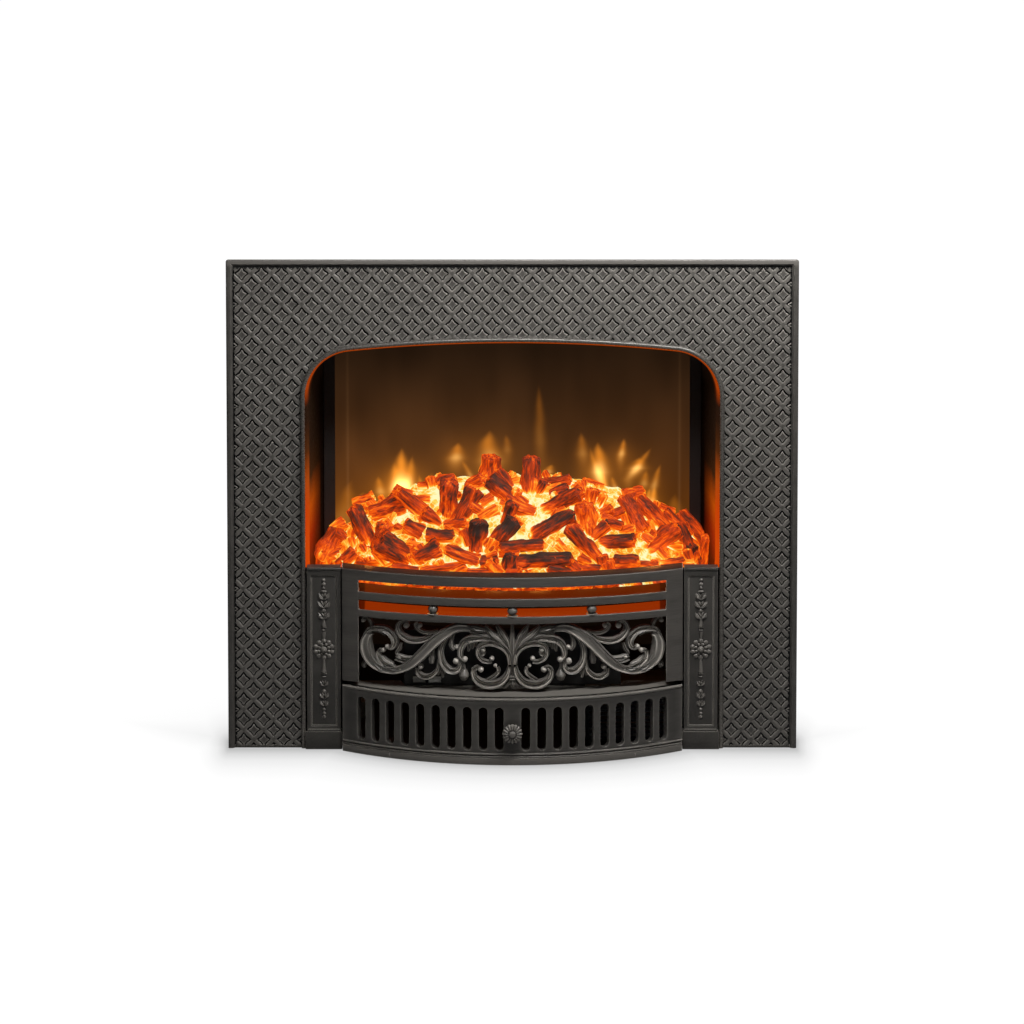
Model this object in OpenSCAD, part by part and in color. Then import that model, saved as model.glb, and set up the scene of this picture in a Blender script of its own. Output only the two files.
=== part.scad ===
// Electric fireplace insert with a cast-effect surround, bowed fret and ash cover.
// X to the right, Y towards the back, Z up. The origin is on the floor, on the centre line,
// in the plane of the surround's back edge, so the front faces -Y.

/* [Surround] */
// Width of the surround
surround_w = 620; // [600:1:680]
// Height of the surround
surround_h = 550; // [535:1:600]
// Depth of the rim, front to back
rim_d = 12; // [11:0.5:15]
// Width of the rim's front lip
lip_w = 7.5; // [6:0.5:10]
// Thickness of the rim's front lip
lip_t = 4; // [3:0.5:5]
// Thickness of the rim's side wall
rim_wall = 3; // [2:0.5:4]
// Width of the bevel on the lip's inner edge
lip_bevel = 2.5; // [1:0.5:3]
// Thickness of the cast plate
plate_t = 4; // [3.5:0.5:5]
// Height of the lozenge relief above the plate
relief_t = 3; // [1:0.5:3.5]
// Width of one lozenge of the lattice
lozenge_w = 21.7; // [18:0.1:30]
// Height of one lozenge of the lattice
lozenge_h = 22.8; // [18:0.1:30]
// Width of the bands between the lozenges
band_w = 5.5; // [3:0.5:8]
// Plain border of the relief
relief_border = 1.2; // [0.8:0.1:3]
// Plain foot below the relief
relief_foot = 3; // [1:0.5:8]

/* [Arch] */
// Half width of the opening
opening_half = 225; // [220:1:232]
// Height of the plate over the opening's crown
crown_gap = 92; // [80:1:105]
// Radius of the opening's shoulders
shoulder_r = 53; // [30:1:80]
// Radius of the opening's crown
crown_r = 1715; // [1200:5:3000]
// Width of the bead round the opening
bead_w = 5; // [4:0.5:7]
// Height of the bead above the plate
bead_h = 6.5; // [4:0.5:8]
// Thickness of the reveal strip
reveal_t = 2; // [1:0.5:3]
// How far the reveal narrows the opening
reveal_splay = 5.5; // [2:0.5:8]
// How far the reveal reaches behind the wall plane
reveal_d = 28; // [15:1:35]

/* [Pilasters] */
// Width of a pilaster
pilaster_w = 36.5; // [34:0.5:40]
// Height of a pilaster
pilaster_h = 205.7; // [195:0.1:215]
// How far a pilaster stands out from the rim's front
pilaster_proj = 4; // [3:0.5:8]
// Height of the plinth
plinth_h = 22.3; // [15:0.1:24]
// How far the plinth and cap stand out
plinth_step = 1.5; // [0.5:0.5:2]
// Depth of the sunk panel
panel_sunk = 1.5; // [1:0.5:3]
// Margin round the sunk panel
panel_margin = 4; // [3:0.5:6]
// Gap between a pilaster and its neighbours
side_gap = 1.5; // [1:0.1:3]

/* [Fret] */
// Projection of the fret's ends in front of the rim
fret_end_proj = 7; // [5:0.5:9]
// Bow of the fret over its width
fret_bow = 39.3; // [30:0.1:44]
// Depth of the fret's stiles and bars
fret_t = 15; // [12:0.5:17]
// Width of a stile
stile_w = 18.3; // [14:0.1:24]
// Height of the fret's lower edge
fret_bottom = 79; // [78:0.5:84]
// Height of the top bar
top_bar_h = 11.3; // [8:0.1:13]
// Height of the upper slot
slot_a_h = 12.7; // [10:0.1:15]
// Height of the middle bar
mid_bar_h = 9; // [7:0.1:11]
// Height of the lower slot
slot_b_h = 11; // [10:0.1:13]
// Height of the lower bar
low_bar_h = 7.9; // [6:0.1:10]
// Thickness of the shelves behind the bars
shelf_t = 3; // [2:0.5:5]
// Depth of the top shelf
top_shelf_d = 22; // [18:1:26]
// Depth of the middle and lower shelves
low_shelf_d = 34; // [24:1:38]
// Radius of a ball stud
ball_r = 4.8; // [4:0.1:4.9]
// Spacing of the ball studs
ball_pitch = 87; // [60:1:120]
// Radius of a ball stud's collar
collar_r = 7.5; // [6:0.1:9]
// Thickness of a ball stud's collar
collar_h = 1.2; // [0.8:0.1:1.4]

/* [Scroll panel] */
// Setback of the scroll's back face from the fret's face
scroll_set = 12; // [10:0.5:14]
// Relief of the scroll's plainest strand
scroll_relief = 5; // [3:0.5:6]
// Height of the rail that the scroll hangs from
scroll_rail_h = 2.4; // [2:0.1:4]

/* [Ash cover] */
// Height of the ash cover
cover_h = 75; // [70:0.5:77]
// Projection of the cover's ends in front of the rim
cover_end_proj = 9.5; // [8:0.5:12]
// Bow of the cover over its width
cover_bow = 57; // [50:0.5:62]
// Thickness of the cover's front wall
cover_t = 8; // [6:0.5:10]
// Thickness of the cover's top ledge
ledge_t = 3.5; // [2.5:0.5:5]
// Gap under the cover
cover_lift = 0.5; // [0.4:0.1:1]
// Number of slots on each side of the knob
cover_slots = 10; // [6:1:10]
// Width of a slot
slot_w = 9; // [6:0.5:10]
// Height of the slots' lower end
slot_low = 15.3; // [14:0.1:20]
// Height of the slots' upper end
slot_high = 63.7; // [55:0.1:64]
// Angle between two slots
slot_pitch = 3.02; // [2.6:0.01:3.1]
// Angle of the slot next to the knob
slot_first = 2.4; // [2.4:0.1:3]
// Radius of the knob
knob_r = 11; // [9:0.5:11.5]
// How far the knob stands out
knob_proj = 13; // [10:0.5:16]
// Height of the knob's axis
knob_z = 38; // [30:1:46]
// Radius of the knob's stud
stud_r = 2.5; // [2:0.5:3]
// Length of the cover's guide tongues behind the front wall
tongue_l = 60; // [40:1:70]
// Width of a tongue
tongue_w = 12; // [8:0.5:14]
// Spacing of the tongues from the centre line
tongue_x = 128; // [115:1:130]

/* [Firebox] */
// Depth of the sheet-metal body behind the wall plane
box_d = 160; // [158:1:190]
// How far the body's top lies below the surround's top
box_drop = 68; // [62:1:74]
// Room between the opening's edge and the body's side wall
box_room = 9.8; // [9:0.1:14]
// Thickness of the body's sheet metal
sheet_t = 1.2; // [0.8:0.1:2]
// Width of the body's fixing flanges
flange_w = 16; // [12:1:20]
// Thickness of the base plate
base_t = 1.5; // [1:0.1:2]
// Distance of the flame screen from the body's back
screen_back = 43.5; // [42:0.5:46]
// Thickness of the flame screen
screen_t = 3; // [2:0.5:4]
// Half width of the screen that shows between its posts
screen_half = 194; // [185:1:196]
// Width of a screen post
post_w = 12; // [10:0.5:12.5]
// Radius of the fixing holes in the back wall
fix_r = 2.75; // [2:0.25:3.5]
// Spacing of the fixing holes across
fix_dx = 400; // [360:5:420]
// Spacing of the fixing holes up
fix_dz = 380; // [340:5:400]

/* [Ember bed] */
// Height of the tray's floor
tray_z = 112; // [110:1:118]
// Height of the tray's rim
tray_top = 178; // [172:1:180]
// Half width of the tray
tray_half = 204; // [195:1:204]
// Thickness of the tray's sheet
tray_t = 1.5; // [1:0.1:2]
// Gap between the fret's shelves and the tray
tray_gap = 8; // [5:1:10]
// Height of the mound over the tray's rim
mound_h = 112; // [90:1:125]
// Thickness of the translucent moulding
mound_wall = 6; // [3:0.5:12]
// Length of a log chunk
coal_l = 46; // [30:1:54]
// Radius of a log chunk
coal_r = 14; // [8:0.5:16]

/* [Flicker rod] */
// Distance of the rod's axis from the body's back
rotor_back = 21; // [20:0.5:22]
// Height of the rod's axis
rotor_z = 150; // [145:1:170]
// Radius of the rod
spindle_r = 2.5; // [2:0.25:3]
// Radius of the foil blades
foil_r = 13; // [9:0.5:14]
// Running clearance of shafts in their bushes
run_fit = 0.05; // [0.02:0.01:0.1]

/* [Fan heater] */
// Width of the heater duct
duct_w = 92; // [84:1:94]
// Height of the heater duct
duct_h = 52; // [48:1:56]
// Length of the heater duct, front to back
duct_l = 98; // [94:1:110]
// Radius of the blower wheel
wheel_r = 19; // [15:0.5:20]
// Number of blades on the blower wheel
wheel_blades = 16; // [10:1:24]

/* [Controls] */
// Distance of the control panel's face in front of the wall plane
controls_y = 24; // [23:0.5:25]
// Half width of the control panel
controls_half = 118; // [110:1:120]
// Width of a rocker switch
rocker_w = 13; // [10:0.5:13]
// Height of a rocker switch
rocker_h = 7.6; // [6:0.2:8]
// Place of the two rockers' middle, left of the centre line
rocker_x = 93; // [80:1:96]
// Tilt of a rocker to each side
rocker_tilt = 8; // [5:1:9]

/* [Hidden] */

// Clearance where two fixed pieces nearly touch
fit = 0.3;
// A cut's overrun past a face
over = 1;

// Screws: shank, pilot hole, and the holes and heads at the brackets and at the casing
screw_r = 1.5;
pilot_r = 1.6;
bracket_hole_r = 1.8;
bracket_head_r = 3.2;
casing_hole_r = 2.1;
casing_head_r = 3.4;
head_t = 2;

// Planes of the surround, front to back
front_y = -rim_d;
plate_front = front_y + lip_t;
plate_back = plate_front + plate_t;
half_w = surround_w / 2;

// Heights and depths that follow the surround and the body
opening_top = surround_h - crown_gap;
box_h = surround_h - box_drop;
screen_y = box_d - screen_back;
rotor_y = box_d - rotor_back;

// Planes and places across
pil_out = opening_half - side_gap;
pil_in = pil_out - pilaster_w;
fret_half = pil_in - side_gap;
cover_half = fret_half - 0.5;
box_half = opening_half + box_room + sheet_t;
bracket_t = 2;
bracket_foot = 18;
pil_front = front_y - pilaster_proj;
pil_back = -bracket_t;

// Bow of a front: radius over its half width, and the centre of its circle
function bow_r(half, bow) = (half * half + bow * bow) / (2 * bow);
fret_r = bow_r(fret_half, fret_bow);
fret_cy = front_y - fret_end_proj - fret_bow + fret_r;
cover_r = bow_r(cover_half, cover_bow);
cover_cy = front_y - cover_end_proj - cover_bow + cover_r;

// Heights of the fret's bars
fret_top = pilaster_h;
slot_a_top = fret_top - top_bar_h;
mid_top = slot_a_top - slot_a_h;
slot_b_top = mid_top - mid_bar_h;
low_top = slot_b_top - slot_b_h;
scroll_top = low_top - low_bar_h;
slot_half = fret_half - stile_w;

// The tray's bowed front and back
tray_r = fret_r - low_shelf_d - tray_gap;
tray_back = screen_y - 8;

// Arch outline, grown outwards by o, from the right foot over the crown to the left foot
shoulder_x = opening_half - shoulder_r;
crown_cz = opening_top - crown_r;
shoulder_z = crown_cz + sqrt(pow(crown_r - shoulder_r, 2) - shoulder_x * shoulder_x);
crown_turn = atan2(shoulder_x, shoulder_z - crown_cz);
shoulder_steps = 9;
crown_steps = 14;
function arch_arc(o) = [
    for (i = [0:shoulder_steps])
        let (a = i * (90 - crown_turn) / shoulder_steps)
        [shoulder_x + (shoulder_r + o) * cos(a), shoulder_z + (shoulder_r + o) * sin(a)],
    for (i = [1:crown_steps - 1])
        let (a = 90 - crown_turn + 2 * i * crown_turn / crown_steps)
        [(crown_r + o) * cos(a), crown_cz + (crown_r + o) * sin(a)],
    for (i = [0:shoulder_steps])
        let (a = 90 + crown_turn + i * (90 - crown_turn) / shoulder_steps)
        [-shoulder_x + (shoulder_r + o) * cos(a), shoulder_z + (shoulder_r + o) * sin(a)]
];
function arch(o, foot) = concat([[opening_half + o, foot]], arch_arc(o), [[-opening_half - o, foot]]);

// A flat shape drawn in X and Z, thickened from y0 to y0 + t
module upright(y0, t) {
    translate([0, y0 + t, 0]) rotate([90, 0, 0]) linear_extrude(t) children();
}

// A box between two corners
module block(a, b) {
    translate(a) cube(b - a);
}

// Both hands of something drawn on the right
module both() {
    children();
    mirror([1, 0, 0]) children();
}

// A cylinder along Y from y0 to y1
module rod_y(x, z, y0, y1, r, fn = 32) {
    translate([x, y0, z]) rotate([-90, 0, 0]) cylinder(h = y1 - y0, r = r, $fn = fn);
}

// A cylinder along X from x0 to x1
module rod_x(y, z, x0, x1, r, fn = 32) {
    translate([x0, y, z]) rotate([0, 90, 0]) cylinder(h = x1 - x0, r = r, $fn = fn);
}

// A section of [offset, y] points swept along the arch, down to a foot height
module arch_sweep(section, foot) {
    n = len(section);
    rows = len(arch(0, foot));
    pts = [
        for (i = [0:rows - 1], k = [0:n - 1])
            let (p = arch(section[k][0], foot)[i])
            [p[0], section[k][1], p[1]]
    ];
    sides = [
        for (i = [0:rows - 2], k = [0:n - 1])
            [i * n + k, i * n + (k + 1) % n, (i + 1) * n + (k + 1) % n, (i + 1) * n + k]
    ];
    ends = [
        [for (k = [n - 1:-1:0]) k],
        [for (k = [0:n - 1]) (rows - 1) * n + k]
    ];
    polyhedron(pts, concat(sides, ends), convexity = 6);
}

// A [radius, z] profile turned about the bow's centre and kept within a half width
module bow_turn(profile, r, cy, half) {
    swing = asin(half / r) + 2;
    intersection() {
        translate([0, cy, 0]) rotate([0, 0, 270 - swing]) rotate_extrude(angle = 2 * swing, $fn = 96)
            polygon(profile);
        block([-half, cy - r - 10, -over], [half, cy, surround_h]);
    }
}

// A rectangle as a [radius, z] profile
function bar(r0, r1, z0, z1) = [[r0, z0], [r1, z0], [r1, z1], [r0, z1]];

// Surround

plate_half = half_w - rim_wall - fit;
plate_top = surround_h - rim_wall - fit;
screw_x = box_half + flange_w / 2;
screw_rows = [60, box_h / 2 + 9, box_h - 42];
top_screw_x = 200;
top_screw_z = box_h + 8;
panel_fixings = [
    for (sx = [-1, 1], z = screw_rows) [sx * screw_x, z],
    for (sx = [-1, 1]) [sx * top_screw_x, top_screw_z]
];

module front_panel() {
    color([0.20, 0.19, 0.17]) difference() {
        upright(plate_front, plate_t) difference() {
            translate([-plate_half, 0]) square([2 * plate_half, plate_top]);
            polygon(arch(0, -over));
        }
        for (p = panel_fixings) rod_y(p[0], p[1], plate_back - plate_t * 0.6, plate_back + over, pilot_r);
    }
}

module relief_field() {
    side = half_w - lip_w - 0.1;
    difference() {
        translate([-side, relief_foot]) square([2 * side, surround_h - lip_w - 0.1 - relief_foot]);
        polygon(arch(bead_w + 0.1, -over));
    }
}

// Lozenges in two staggered sets, each smaller than its cell by the band
module lozenges() {
    cell_side = sqrt(pow(lozenge_w / 2, 2) + pow(lozenge_h / 2, 2));
    grow = 1 - band_w * cell_side / (lozenge_w * lozenge_h / 2);
    nx = ceil(half_w / lozenge_w);
    nz = ceil(surround_h / lozenge_h);
    for (s = [0, 0.5], i = [-nx:nx], j = [0:nz])
        translate([(i + s) * lozenge_w, (j + s) * lozenge_h])
            polygon([for (k = [0:3]) [cos(90 * k) * lozenge_w, sin(90 * k) * lozenge_h] * grow / 2]);
}

// The relief is cast in tiles with a hairline joint between them
tiles = 4;
tile_joint = 0.02;

module relief_tile(i, j) {
    w = 2 * half_w / tiles;
    h = surround_h / tiles;
    upright(plate_front - relief_t, relief_t) offset(delta = -tile_joint) intersection() {
        translate([-half_w + i * w, j * h]) square([w, h]);
        difference() {
            relief_field();
            intersection() {
                lozenges();
                offset(delta = -relief_border) relief_field();
            }
        }
    }
}

// Only the outer columns and the top row of tiles lie outside the opening
module lattice_relief() {
    color([0.23, 0.22, 0.20])
        for (i = [0:tiles - 1], j = [0:tiles - 1])
            if (i == 0 || i == tiles - 1 || j == tiles - 1) relief_tile(i, j);
}

// The rim's section: distance in from the outer edge, and y
rim_section = [
    [0, 0], [0, front_y + 0.8], [0.8, front_y], [lip_w - lip_bevel, front_y],
    [lip_w, front_y + lip_bevel], [lip_w, plate_front], [rim_wall, plate_front], [rim_wall, 0]
];

module outer_rim() {
    color([0.24, 0.23, 0.21]) union() {
        both() linear_extrude(surround_h) polygon([for (p = rim_section) [half_w - p[0], p[1]]]);
        translate([-half_w, 0, 0]) rotate([90, 0, 90]) linear_extrude(surround_w)
            polygon([for (p = rim_section) [p[1], surround_h - p[0]]]);
    }
}

bead_section = concat(
    [[bead_w, plate_front], [0, plate_front]],
    [for (k = [0:5]) [
        bead_w / 2 * (1 - cos(36 * k)),
        plate_front - bead_h + bead_w / 2 * (1 - sin(36 * k))
    ]]
);

module arch_bead() {
    color([0.26, 0.25, 0.23]) arch_sweep(bead_section, cover_lift);
}

reveal_section = [
    [-fit, plate_front + 0.5], [-fit - reveal_t, plate_front + 0.5],
    [-reveal_splay - reveal_t, reveal_d], [-reveal_splay, reveal_d],
    [-fit, plate_back + 1.5], [8, plate_back + 1.5], [8, plate_back], [-fit, plate_back]
];

module arch_reveal() {
    color([0.35, 0.16, 0.06]) arch_sweep(reveal_section, pilaster_h + 1);
}

// Pilasters, drawn on the right

panel_low = plinth_h + panel_margin;
panel_high = pilaster_h - 5 - panel_margin;
panel_floor_y = pil_front + panel_sunk;

module pilaster() {
    color([0.21, 0.20, 0.18]) difference() {
        union() {
            block([pil_in, pil_front, 0], [pil_out, pil_back, pilaster_h - 2.5]);
            block([pil_in - 0.6, pil_front - plinth_step, 0], [pil_out + 0.6, pil_back, plinth_h]);
            block([pil_in, pil_front - plinth_step * 0.6, pilaster_h - 2.5], [pil_out, pil_back, pilaster_h]);
            block([pil_in + 1.5, pil_front - 0.8, plinth_h], [pil_out - 1.5, pil_back, plinth_h + 2]);
        }
        block(
            [pil_in + panel_margin, pil_front - over, panel_low],
            [pil_out - panel_margin, panel_floor_y, panel_high]
        );
        for (z = post_screw_rows)
            rod_y(post_screw_x, z, pil_back - 7, pil_back + over, pilot_r);
    }
}

module pilaster_left() {
    mirror([1, 0, 0]) pilaster();
}

module pilaster_right() {
    pilaster();
}

// Garland: heights are shares of the sunk panel, so it follows the panel
gar_x = (pil_in + pil_out) / 2;
function gar_z(t) = panel_low + t * (panel_high - panel_low);

// A bead on the panel's floor
module seed(t, r) {
    translate([gar_x, panel_floor_y, gar_z(t)]) sphere(r = r, $fn = 10);
}

// A leaf that leaves the stem at t and turns up and out
module leaf(t, reach, size) {
    for (side = [-1, 1]) hull() {
        translate([gar_x + side, panel_floor_y, gar_z(t) - size]) sphere(r = size * 0.35, $fn = 6);
        translate([gar_x + side * reach, panel_floor_y, gar_z(t) + size * 0.4])
            sphere(r = size * 0.6, $fn = 6);
    }
}

// A length of turned stem
module stem(t0, t1, r0, r1) {
    hull() {
        translate([gar_x, panel_floor_y, gar_z(t0)]) sphere(r = r0, $fn = 8);
        translate([gar_x, panel_floor_y, gar_z(t1)]) sphere(r = r1, $fn = 8);
    }
}

module rosette(t, r, petals) {
    for (k = [0:petals - 1]) hull() {
        for (p = [[0.35, 0.12], [0.8, 0.2]])
            translate([
                gar_x + cos(360 * k / petals) * r * p[0], panel_floor_y,
                gar_z(t) + sin(360 * k / petals) * r * p[0]
            ]) sphere(r = r * p[1], $fn = 6);
    }
    seed(t, r * 0.37);
}

module garland() {
    color([0.27, 0.26, 0.24]) intersection() {
        block([pil_in, pil_front - 6, panel_low], [pil_out, panel_floor_y, panel_high]);
        union() {
            for (p = [[0.97, 1.6], [0.94, 2], [0.91, 1.6], [0.885, 2.4]]) seed(p[0], p[1]);
            leaf(0.86, 5, 3.2);
            leaf(0.8, 6, 3.6);
            seed(0.765, 2);
            leaf(0.73, 5.4, 3);
            stem(0.7, 0.65, 1.2, 2.2);
            stem(0.62, 0.56, 2.2, 1.1);
            rosette(0.5, 12, 10);
            stem(0.435, 0.35, 1.1, 2.2);
            stem(0.33, 0.28, 2.2, 1.2);
            leaf(0.27, 3.6, 2.4);
            seed(0.22, 2.2);
            leaf(0.19, 4, 3);
            leaf(0.145, 3.4, 2.6);
            for (p = [[0.1, 1.7], [0.07, 1.8], [0.045, 2]]) seed(p[0], p[1]);
        }
    }
}

module garland_left() {
    mirror([1, 0, 0]) garland();
}

module garland_right() {
    garland();
}

// Fret

lug_half = 6;
lug_x = fret_half - lug_half - 2;
bracket_in = lug_x - lug_half + 1;
post_screw_x = (pil_in + pil_out) / 2;
post_screw_rows = [40, 160];
lug_rows = [fret_bottom + 12, slot_a_top - 15];

// Back of the fret's stile at a given x
function fret_back(x) = fret_cy - sqrt(pow(fret_r - fret_t, 2) - x * x);

module fret_frame() {
    color([0.22, 0.21, 0.19]) difference() {
        union() {
            bow_turn(bar(fret_r - fret_t, fret_r, fret_bottom, fret_top), fret_r, fret_cy, fret_half);
            bow_turn(bar(fret_r - top_shelf_d, fret_r - fret_t + over, fret_top - shelf_t, fret_top),
                fret_r, fret_cy, fret_half);
            for (z = [mid_top, low_top])
                bow_turn(bar(fret_r - low_shelf_d, fret_r - fret_t + over, z - shelf_t, z),
                    fret_r, fret_cy, slot_half + over);
            both() for (z = lug_rows)
                block([lug_x - lug_half, fret_back(lug_x - lug_half) - over, z - lug_half],
                    [lug_x + lug_half, pil_back, z + lug_half]);
        }
        for (cut = [[slot_a_top, slot_a_h], [slot_b_top, slot_b_h], [scroll_top, scroll_top]])
            block([-slot_half, fret_cy - fret_r - over, cut[0] - cut[1]], [slot_half, 0, cut[0]]);
        both() for (z = lug_rows)
            rod_y(lug_x, z, pil_back - 8, pil_back + over, pilot_r);
    }
}

// Screws through the brackets into the fret's lugs and the pilasters
module bracket_screws() {
    color([0.55, 0.55, 0.55]) both()
        for (p = concat([for (z = lug_rows) [lug_x, z]], [for (z = post_screw_rows) [post_screw_x, z]])) {
            rod_y(p[0], p[1], pil_back - 6, 0, screw_r);
            rod_y(p[0], p[1], 0, head_t, bracket_head_r);
        }
}

module fret_balls() {
    stud_line_r = fret_r - 5;
    color([0.16, 0.16, 0.15]) for (k = [-1:1]) {
        a = asin(k * ball_pitch / fret_r);
        translate([stud_line_r * sin(a), fret_cy - stud_line_r * cos(a), low_top]) union() {
            cylinder(h = collar_h, r = collar_r, $fn = 48);
            cylinder(h = collar_h + 1, r = ball_r * 0.6, $fn = 32);
            translate([0, 0, collar_h + ball_r - 0.3]) sphere(r = ball_r, $fn = 32);
        }
    }
}

// Scroll panel: strands are lists of [x, z, width] on the panel, x from the centre line
// and z down from the panel's top, laid round the bow
scroll_r = fret_r - scroll_set;
scroll_z = scroll_top - fit;
scroll_rail_t = 4;
function on_bow(x, z, h) =
    let (a = asin(x / scroll_r))
    [(scroll_r + h) * sin(a), fret_cy - (scroll_r + h) * cos(a), scroll_z + z];

// A smooth curve through four points
function blend(a, b, c, d, t) =
    0.5 * (2 * b + (c - a) * t + (2 * a - 5 * b + 4 * c - d) * t * t + (3 * b - a - 3 * c + d) * t * t * t);
function smooth(p, n) =
    let (last = len(p) - 1)
    concat(
        [for (i = [0:last - 1], k = [0:n - 1])
            blend(p[max(i - 1, 0)], p[i], p[i + 1], p[min(i + 2, last)], k / n)],
        [p[last]]
    );

// A rounded ridge section across the strand at point i of its path
function ridge(path, i) =
    let (
        last = len(path) - 1,
        d = path[min(i + 1, last)] - path[max(i - 1, 0)],
        l = norm([d[0], d[1]]),
        n = [-d[1], d[0]] / l * path[i][2] / 2,
        h = scroll_relief * 0.5 + path[i][2] * 0.55
    )
    [for (s = [[-1, 0], [1, 0], [0.62, 0.8], [0, 1], [-0.62, 0.8]])
        on_bow(path[i][0] + n[0] * s[0], path[i][1] + n[1] * s[0], h * s[1])];

ridge_faces = [
    [0, 1, 2, 3, 4], [9, 8, 7, 6, 5],
    for (k = [0:4]) [k, k + 5, (k + 1) % 5 + 5, (k + 1) % 5]
];

module strand(points, n = 2) {
    path = smooth(points, n);
    for (i = [0:len(path) - 2])
        hull() polyhedron(concat(ridge(path, i), ridge(path, i + 1)), ridge_faces);
}

// A round terminal on the panel
module terminal(x, z, r) {
    hull() for (s = [[r, 0], [r * 0.85, r * 0.8], [r * 0.3, r * 1.2]])
        for (k = [0:7])
            translate(on_bow(x + s[0] * cos(45 * k), z + s[0] * sin(45 * k), s[1]))
                cube(0.05, center = true);
}

// Strands of the right half
main_stem = [
    [45, -7.6, 6.7], [54, -6.6, 8], [63, -8.5, 9], [72, -14, 10.5], [82, -22.2, 11.3], [92, -33, 11],
    [101, -43, 10.5], [110, -51.5, 9], [119, -57, 7.5], [129, -59.6, 7.3], [139, -59, 7.3],
    [147.5, -55, 8.2], [154, -47.3, 10.2], [157, -38, 11], [157.5, -28.7, 9.8], [155, -21.5, 7],
    [151, -19.6, 4.4]
];
ring_top = [
    [159.5, -23, 3.5], [155, -16.3, 5], [146.6, -13.4, 5.8], [137.2, -14, 6.7], [130, -19.2, 7],
    [126.6, -26.4, 6.9], [129, -33.2, 5.5], [134, -34, 4]
];
end_curl = [
    [151.6, -15.4, 3], [152.5, -8.4, 3.6], [155.8, -3.8, 3.5], [160.4, -3.4, 3.1], [162.3, -6.5, 2.6]
];
upper_curls = [
    [
        [86.7, -18, 3.5], [92.8, -21.5, 5.3], [101.7, -24, 6.4], [110.6, -23.8, 6.7], [119, -19.4, 6.2],
        [123.4, -12.3, 5.3], [121.8, -5.8, 4.4], [116.3, -3.6, 3.8], [112.6, -6, 3.1]
    ],
    [
        [80, -11.5, 3], [87.9, -14.3, 3.5], [95.6, -14.3, 4], [102, -11, 4], [104.6, -6.6, 3.5],
        [101.6, -3.8, 3]
    ]
];
inner_scroll = [
    [56, -9.6, 3.5], [64.6, -13.6, 4.2], [71.8, -20.6, 5.1], [76.4, -30, 5.5], [77.1, -40.4, 5.8],
    [73.8, -50, 6.4], [66.8, -56, 6.7], [59, -55.2, 6], [56.1, -49.3, 4.7], [59, -45, 3.8]
];
low_scroll = [
    [79, -44, 3], [80.9, -55.5, 4.4], [86.7, -62.4, 5.3], [94.5, -64.8, 5.5], [101.2, -61, 5.1],
    [102.8, -55.1, 4.2]
];
bud_stems = [
    [[120, -28, 3], [122.2, -34.6, 4], [125.2, -39.8, 3.5], [122, -44, 3]],
    [[85.5, -33, 3], [87.1, -42.1, 6], [87.7, -49, 4.4]],
    [[62, -12, 3], [65.4, -20.3, 4], [66.2, -27.3, 5.1], [63, -33, 4]],
    [[156, -49, 3.5], [160.6, -55.5, 5.5], [160.4, -60, 3]]
];
shells = [
    [[105, -44.5, 3], [116.1, -44.9, 4.4], [124.4, -42, 2.6]],
    [[107, -47.6, 3], [118.3, -48, 4.4], [126.6, -46, 2.6]]
];
leaf_arc = [
    [15, -24, 3.5], [28.6, -18.7, 5.8], [39.7, -18.9, 7.3], [49.1, -21.5, 7.8], [54.6, -28.6, 6.9],
    [56.3, -37.2, 5.5], [53.5, -42.9, 3.8]
];
drop_leaves = [
    [[79.5, -48, 3], [76.7, -57.6, 3], [75.3, -64.2, 3]],
    [[78, -55, 3], [73, -60, 3]],
    [[53, -41, 3], [52, -52.6, 3], [52, -57.2, 6.7], [52.3, -62.4, 10], [52.3, -66, 5.5]],
    [[48, -21, 4], [46.5, -27.7, 5], [47.6, -33.7, 2.6]],
    [[39, -19, 3], [40.3, -25.3, 3.4], [41, -29, 2]]
];
ring_leaf = [
    [123, -58, 4], [133.8, -54.8, 6.2], [141, -50, 6.7], [144.7, -43.8, 5.5], [143.6, -38.6, 4],
    [139.8, -37.8, 3]
];
volute_out = [
    [3, -50, 4], [5.5, -59.3, 6], [11.9, -67, 7.5], [21.9, -70.4, 8.6], [32.4, -69, 8.2], [40.2, -63, 6.4],
    [41.9, -55.2, 5], [38, -51.3, 4], [34.5, -53, 3]
];
volute_top = [
    [2.6, -48, 4], [4.2, -36.3, 5.3], [9.7, -28.5, 6.2], [18, -24.3, 6.4], [26.9, -23.8, 6],
    [34.7, -27.2, 5.1], [37.4, -34.4, 4.4], [34.7, -41.2, 4.2], [28, -44.8, 4], [22, -44.5, 3.4]
];
volute_in = [[36, -35, 3], [31.5, -37, 3], [29.8, -33, 3]];
volute_leaf = [[27, -66, 3], [19.7, -61.4, 3.8], [14.9, -56, 4], [16, -50.6, 3.1]];
collar = [[29, -9, 6], [38.5, -8, 7], [48, -7, 4]];
collar_low = [[22, -18, 4], [34.1, -13.6, 5.8], [46, -12, 3]];
palmette = [
    [[2.2, -38, 3], [5.5, -23.6, 5.3], [11.4, -13.3, 7.3], [17.3, -3.4, 2.6]],
    [[3.5, -36, 3], [10.8, -23.6, 5.5], [20.3, -15.9, 9], [30.1, -4.6, 3.3]]
];
side_fleur = [[1, -66, 3], [4.2, -70.6, 3.8], [8.6, -73.4, 4]];
terminals = [
    [135, -33.6, 3], [139.6, -38, 2.6], [161.3, -6.4, 2.4], [114.5, -8, 3.2], [100, -7, 2.8],
    [61, -45.2, 3.4], [99, -53.4, 3], [51.5, -43, 3.2], [34, -54, 3.2], [22, -41.5, 2.8],
    [31.6, -31.8, 2.8], [60.4, -29.4, 2.6], [120.8, -57.4, 3.2], [135, -57.6, 3.2], [18.4, -49.4, 2.2]
];

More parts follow.
